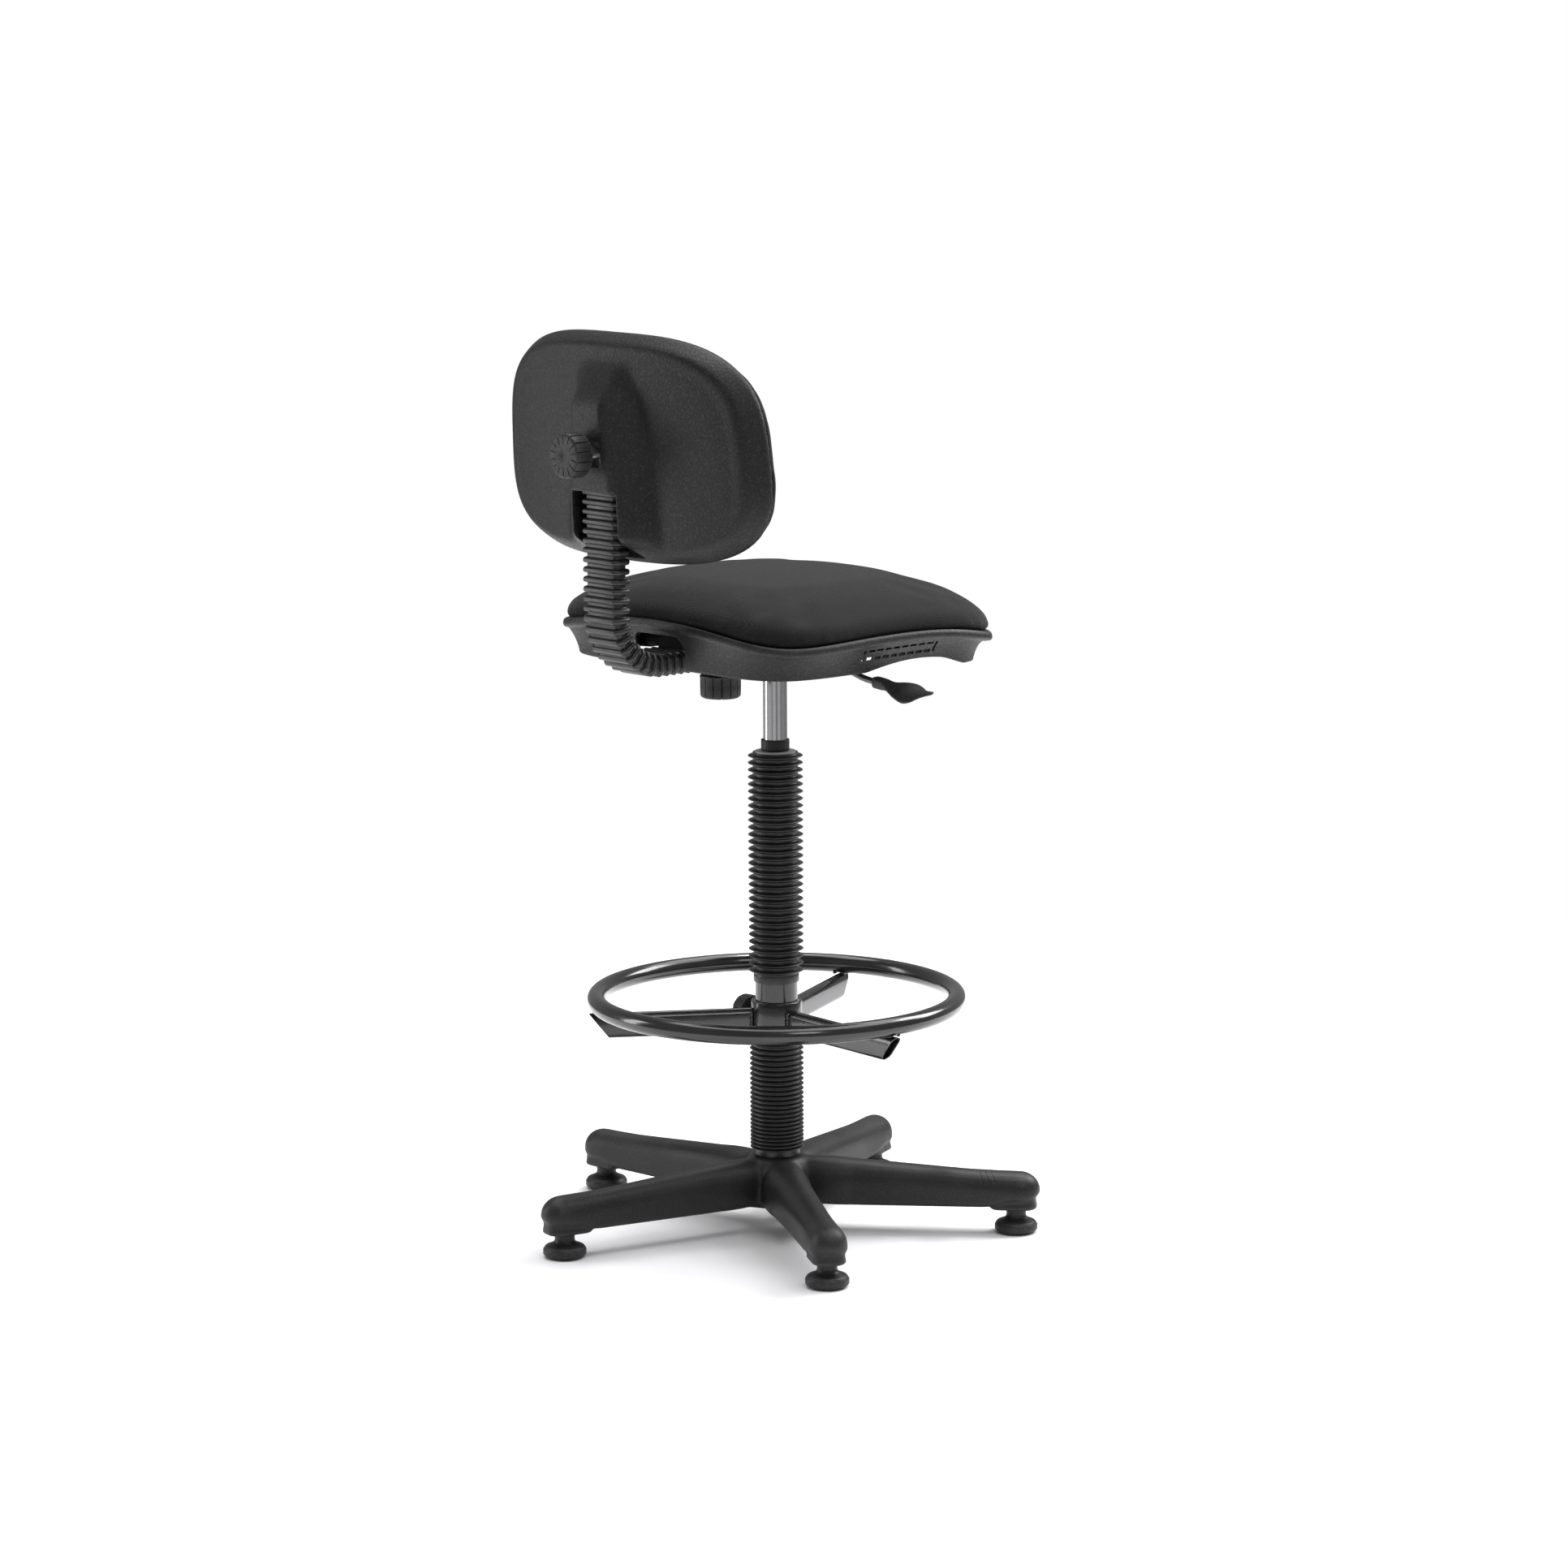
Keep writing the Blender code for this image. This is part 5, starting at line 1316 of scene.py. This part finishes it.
# ---- stage ----
CAMERA_TURN = radians(47.0)           # how far the camera stands round from behind the chair
CAMERA_DISTANCE = 6.068
CAMERA_HEIGHT = 1.557
CAMERA_SIDE = 0.010
CAMERA_PITCH = radians(9.61)
CAMERA_ROLL = radians(-0.26)
CAMERA_LENS = 121.15
RIGHT = Vector((-cos(CAMERA_TURN), -sin(CAMERA_TURN), 0.0))
AWAY = Vector((sin(CAMERA_TURN), -cos(CAMERA_TURN), 0.0))
WORLD_LIGHT = 0.30
FLOOR_RADIUS = 2.2
# name, towards the light to the camera's right, away from the camera and up, angle across, strength
SUNS = (
    ("sky", 0.12, 0.15, 1.0, 70.0, 3.0),
    ("key", 0.10, 0.22, 1.0, 9.0, 0.8),
)
# name, to the camera's right, away from the camera, height, width, depth, power
LIGHTS = (
    ("right_box", 2.2, 1.1, 2.1, 1.2, 1.4, 58.0),
    ("left_panel", -2.4, 0.2, 0.9, 0.5, 1.6, 16.0),
    ("front_box", 1.1, -3.2, 2.7, 1.1, 1.1, 18.0),
)


def make_stage():
    """Pale floor, soft overhead light, and the camera at the photograph's angle."""
    bm = bmesh.new()
    bmesh.ops.create_circle(bm, cap_ends=True, radius=FLOOR_RADIUS, segments=128)
    mesh = bpy.data.meshes.new("floor")
    bm.to_mesh(mesh)
    bm.free()
    floor = thing("floor", mesh)
    floor.location = (AXIS[0], AXIS[1], -0.0005)
    p = Paint("pale_floor")
    patches = p.noise(3.0, 3.0)
    colour = p.tones(patches, 0.90, 0.92)
    p.done(colour, p.vary(patches, 0.55, 0.65), p.bump(p.noise(400.0, 2.0), 0.02, 0.0002))
    floor.data.materials.append(p.material)

    world = bpy.data.worlds.new("studio")
    bpy.context.scene.world = world
    world.use_nodes = True
    nodes, links = world.node_tree.nodes, world.node_tree.links
    back = nodes["Background"]
    back.inputs["Color"].default_value = (1.0, 1.0, 1.0, 1.0)
    path = nodes.new("ShaderNodeLightPath")
    span = nodes.new("ShaderNodeMapRange")
    span.inputs["To Min"].default_value, span.inputs["To Max"].default_value = WORLD_LIGHT, 1.0
    links.new(path.outputs["Is Camera Ray"], span.inputs["Value"])
    links.new(span.outputs["Result"], back.inputs["Strength"])

    for name, side, away, height, angle, power in SUNS:
        data = bpy.data.lights.new(name, "SUN")
        data.energy, data.angle = power, radians(angle)
        item = thing(name, data)
        place = RIGHT * side + AWAY * away + Vector((0, 0, height))
        item.rotation_euler = (-place).to_track_quat("-Z", "Y").to_euler()

    middle = Vector(AXIS) + Vector((0, 0, 0.6))
    for name, side, away, height, width, tall, power in LIGHTS:
        data = bpy.data.lights.new(name, "AREA")
        data.energy, data.shape, data.size, data.size_y = power, "RECTANGLE", width, tall
        item = thing(name, data)
        item.location = Vector(AXIS) + RIGHT * side + AWAY * away + Vector((0, 0, height))
        item.rotation_euler = (middle - item.location).to_track_quat("-Z", "Y").to_euler()

    data = bpy.data.cameras.new("camera")
    camera = thing("camera", data)
    data.sensor_width = 36.0
    data.lens = CAMERA_LENS
    data.clip_end = 200.0
    look = (AWAY * cos(CAMERA_PITCH) - Vector((0, 0, 1)) * sin(CAMERA_PITCH)).normalized()
    up = (AWAY * sin(CAMERA_PITCH) + Vector((0, 0, 1)) * cos(CAMERA_PITCH)).normalized()
    right = look.cross(up)
    rolled_right = right * cos(CAMERA_ROLL) + up * sin(CAMERA_ROLL)
    rolled_up = up * cos(CAMERA_ROLL) - right * sin(CAMERA_ROLL)
    matrix = Matrix((rolled_right, rolled_up, -look)).transposed().to_4x4()
    matrix.translation = (Vector(AXIS) + RIGHT * CAMERA_SIDE - AWAY * CAMERA_DISTANCE
                          + Vector((0, 0, CAMERA_HEIGHT)))
    camera.matrix_world = matrix
    bpy.context.scene.camera = camera
    bpy.context.scene.view_settings.view_transform = "Standard"


make_base()
make_glides()
make_column()
make_sleeves()
make_ring()
make_knobs()
make_pan()
make_seat_pad()
make_lever()
make_bar()
make_back_shell()
make_back_pad()
paint_nodes()
make_stage()
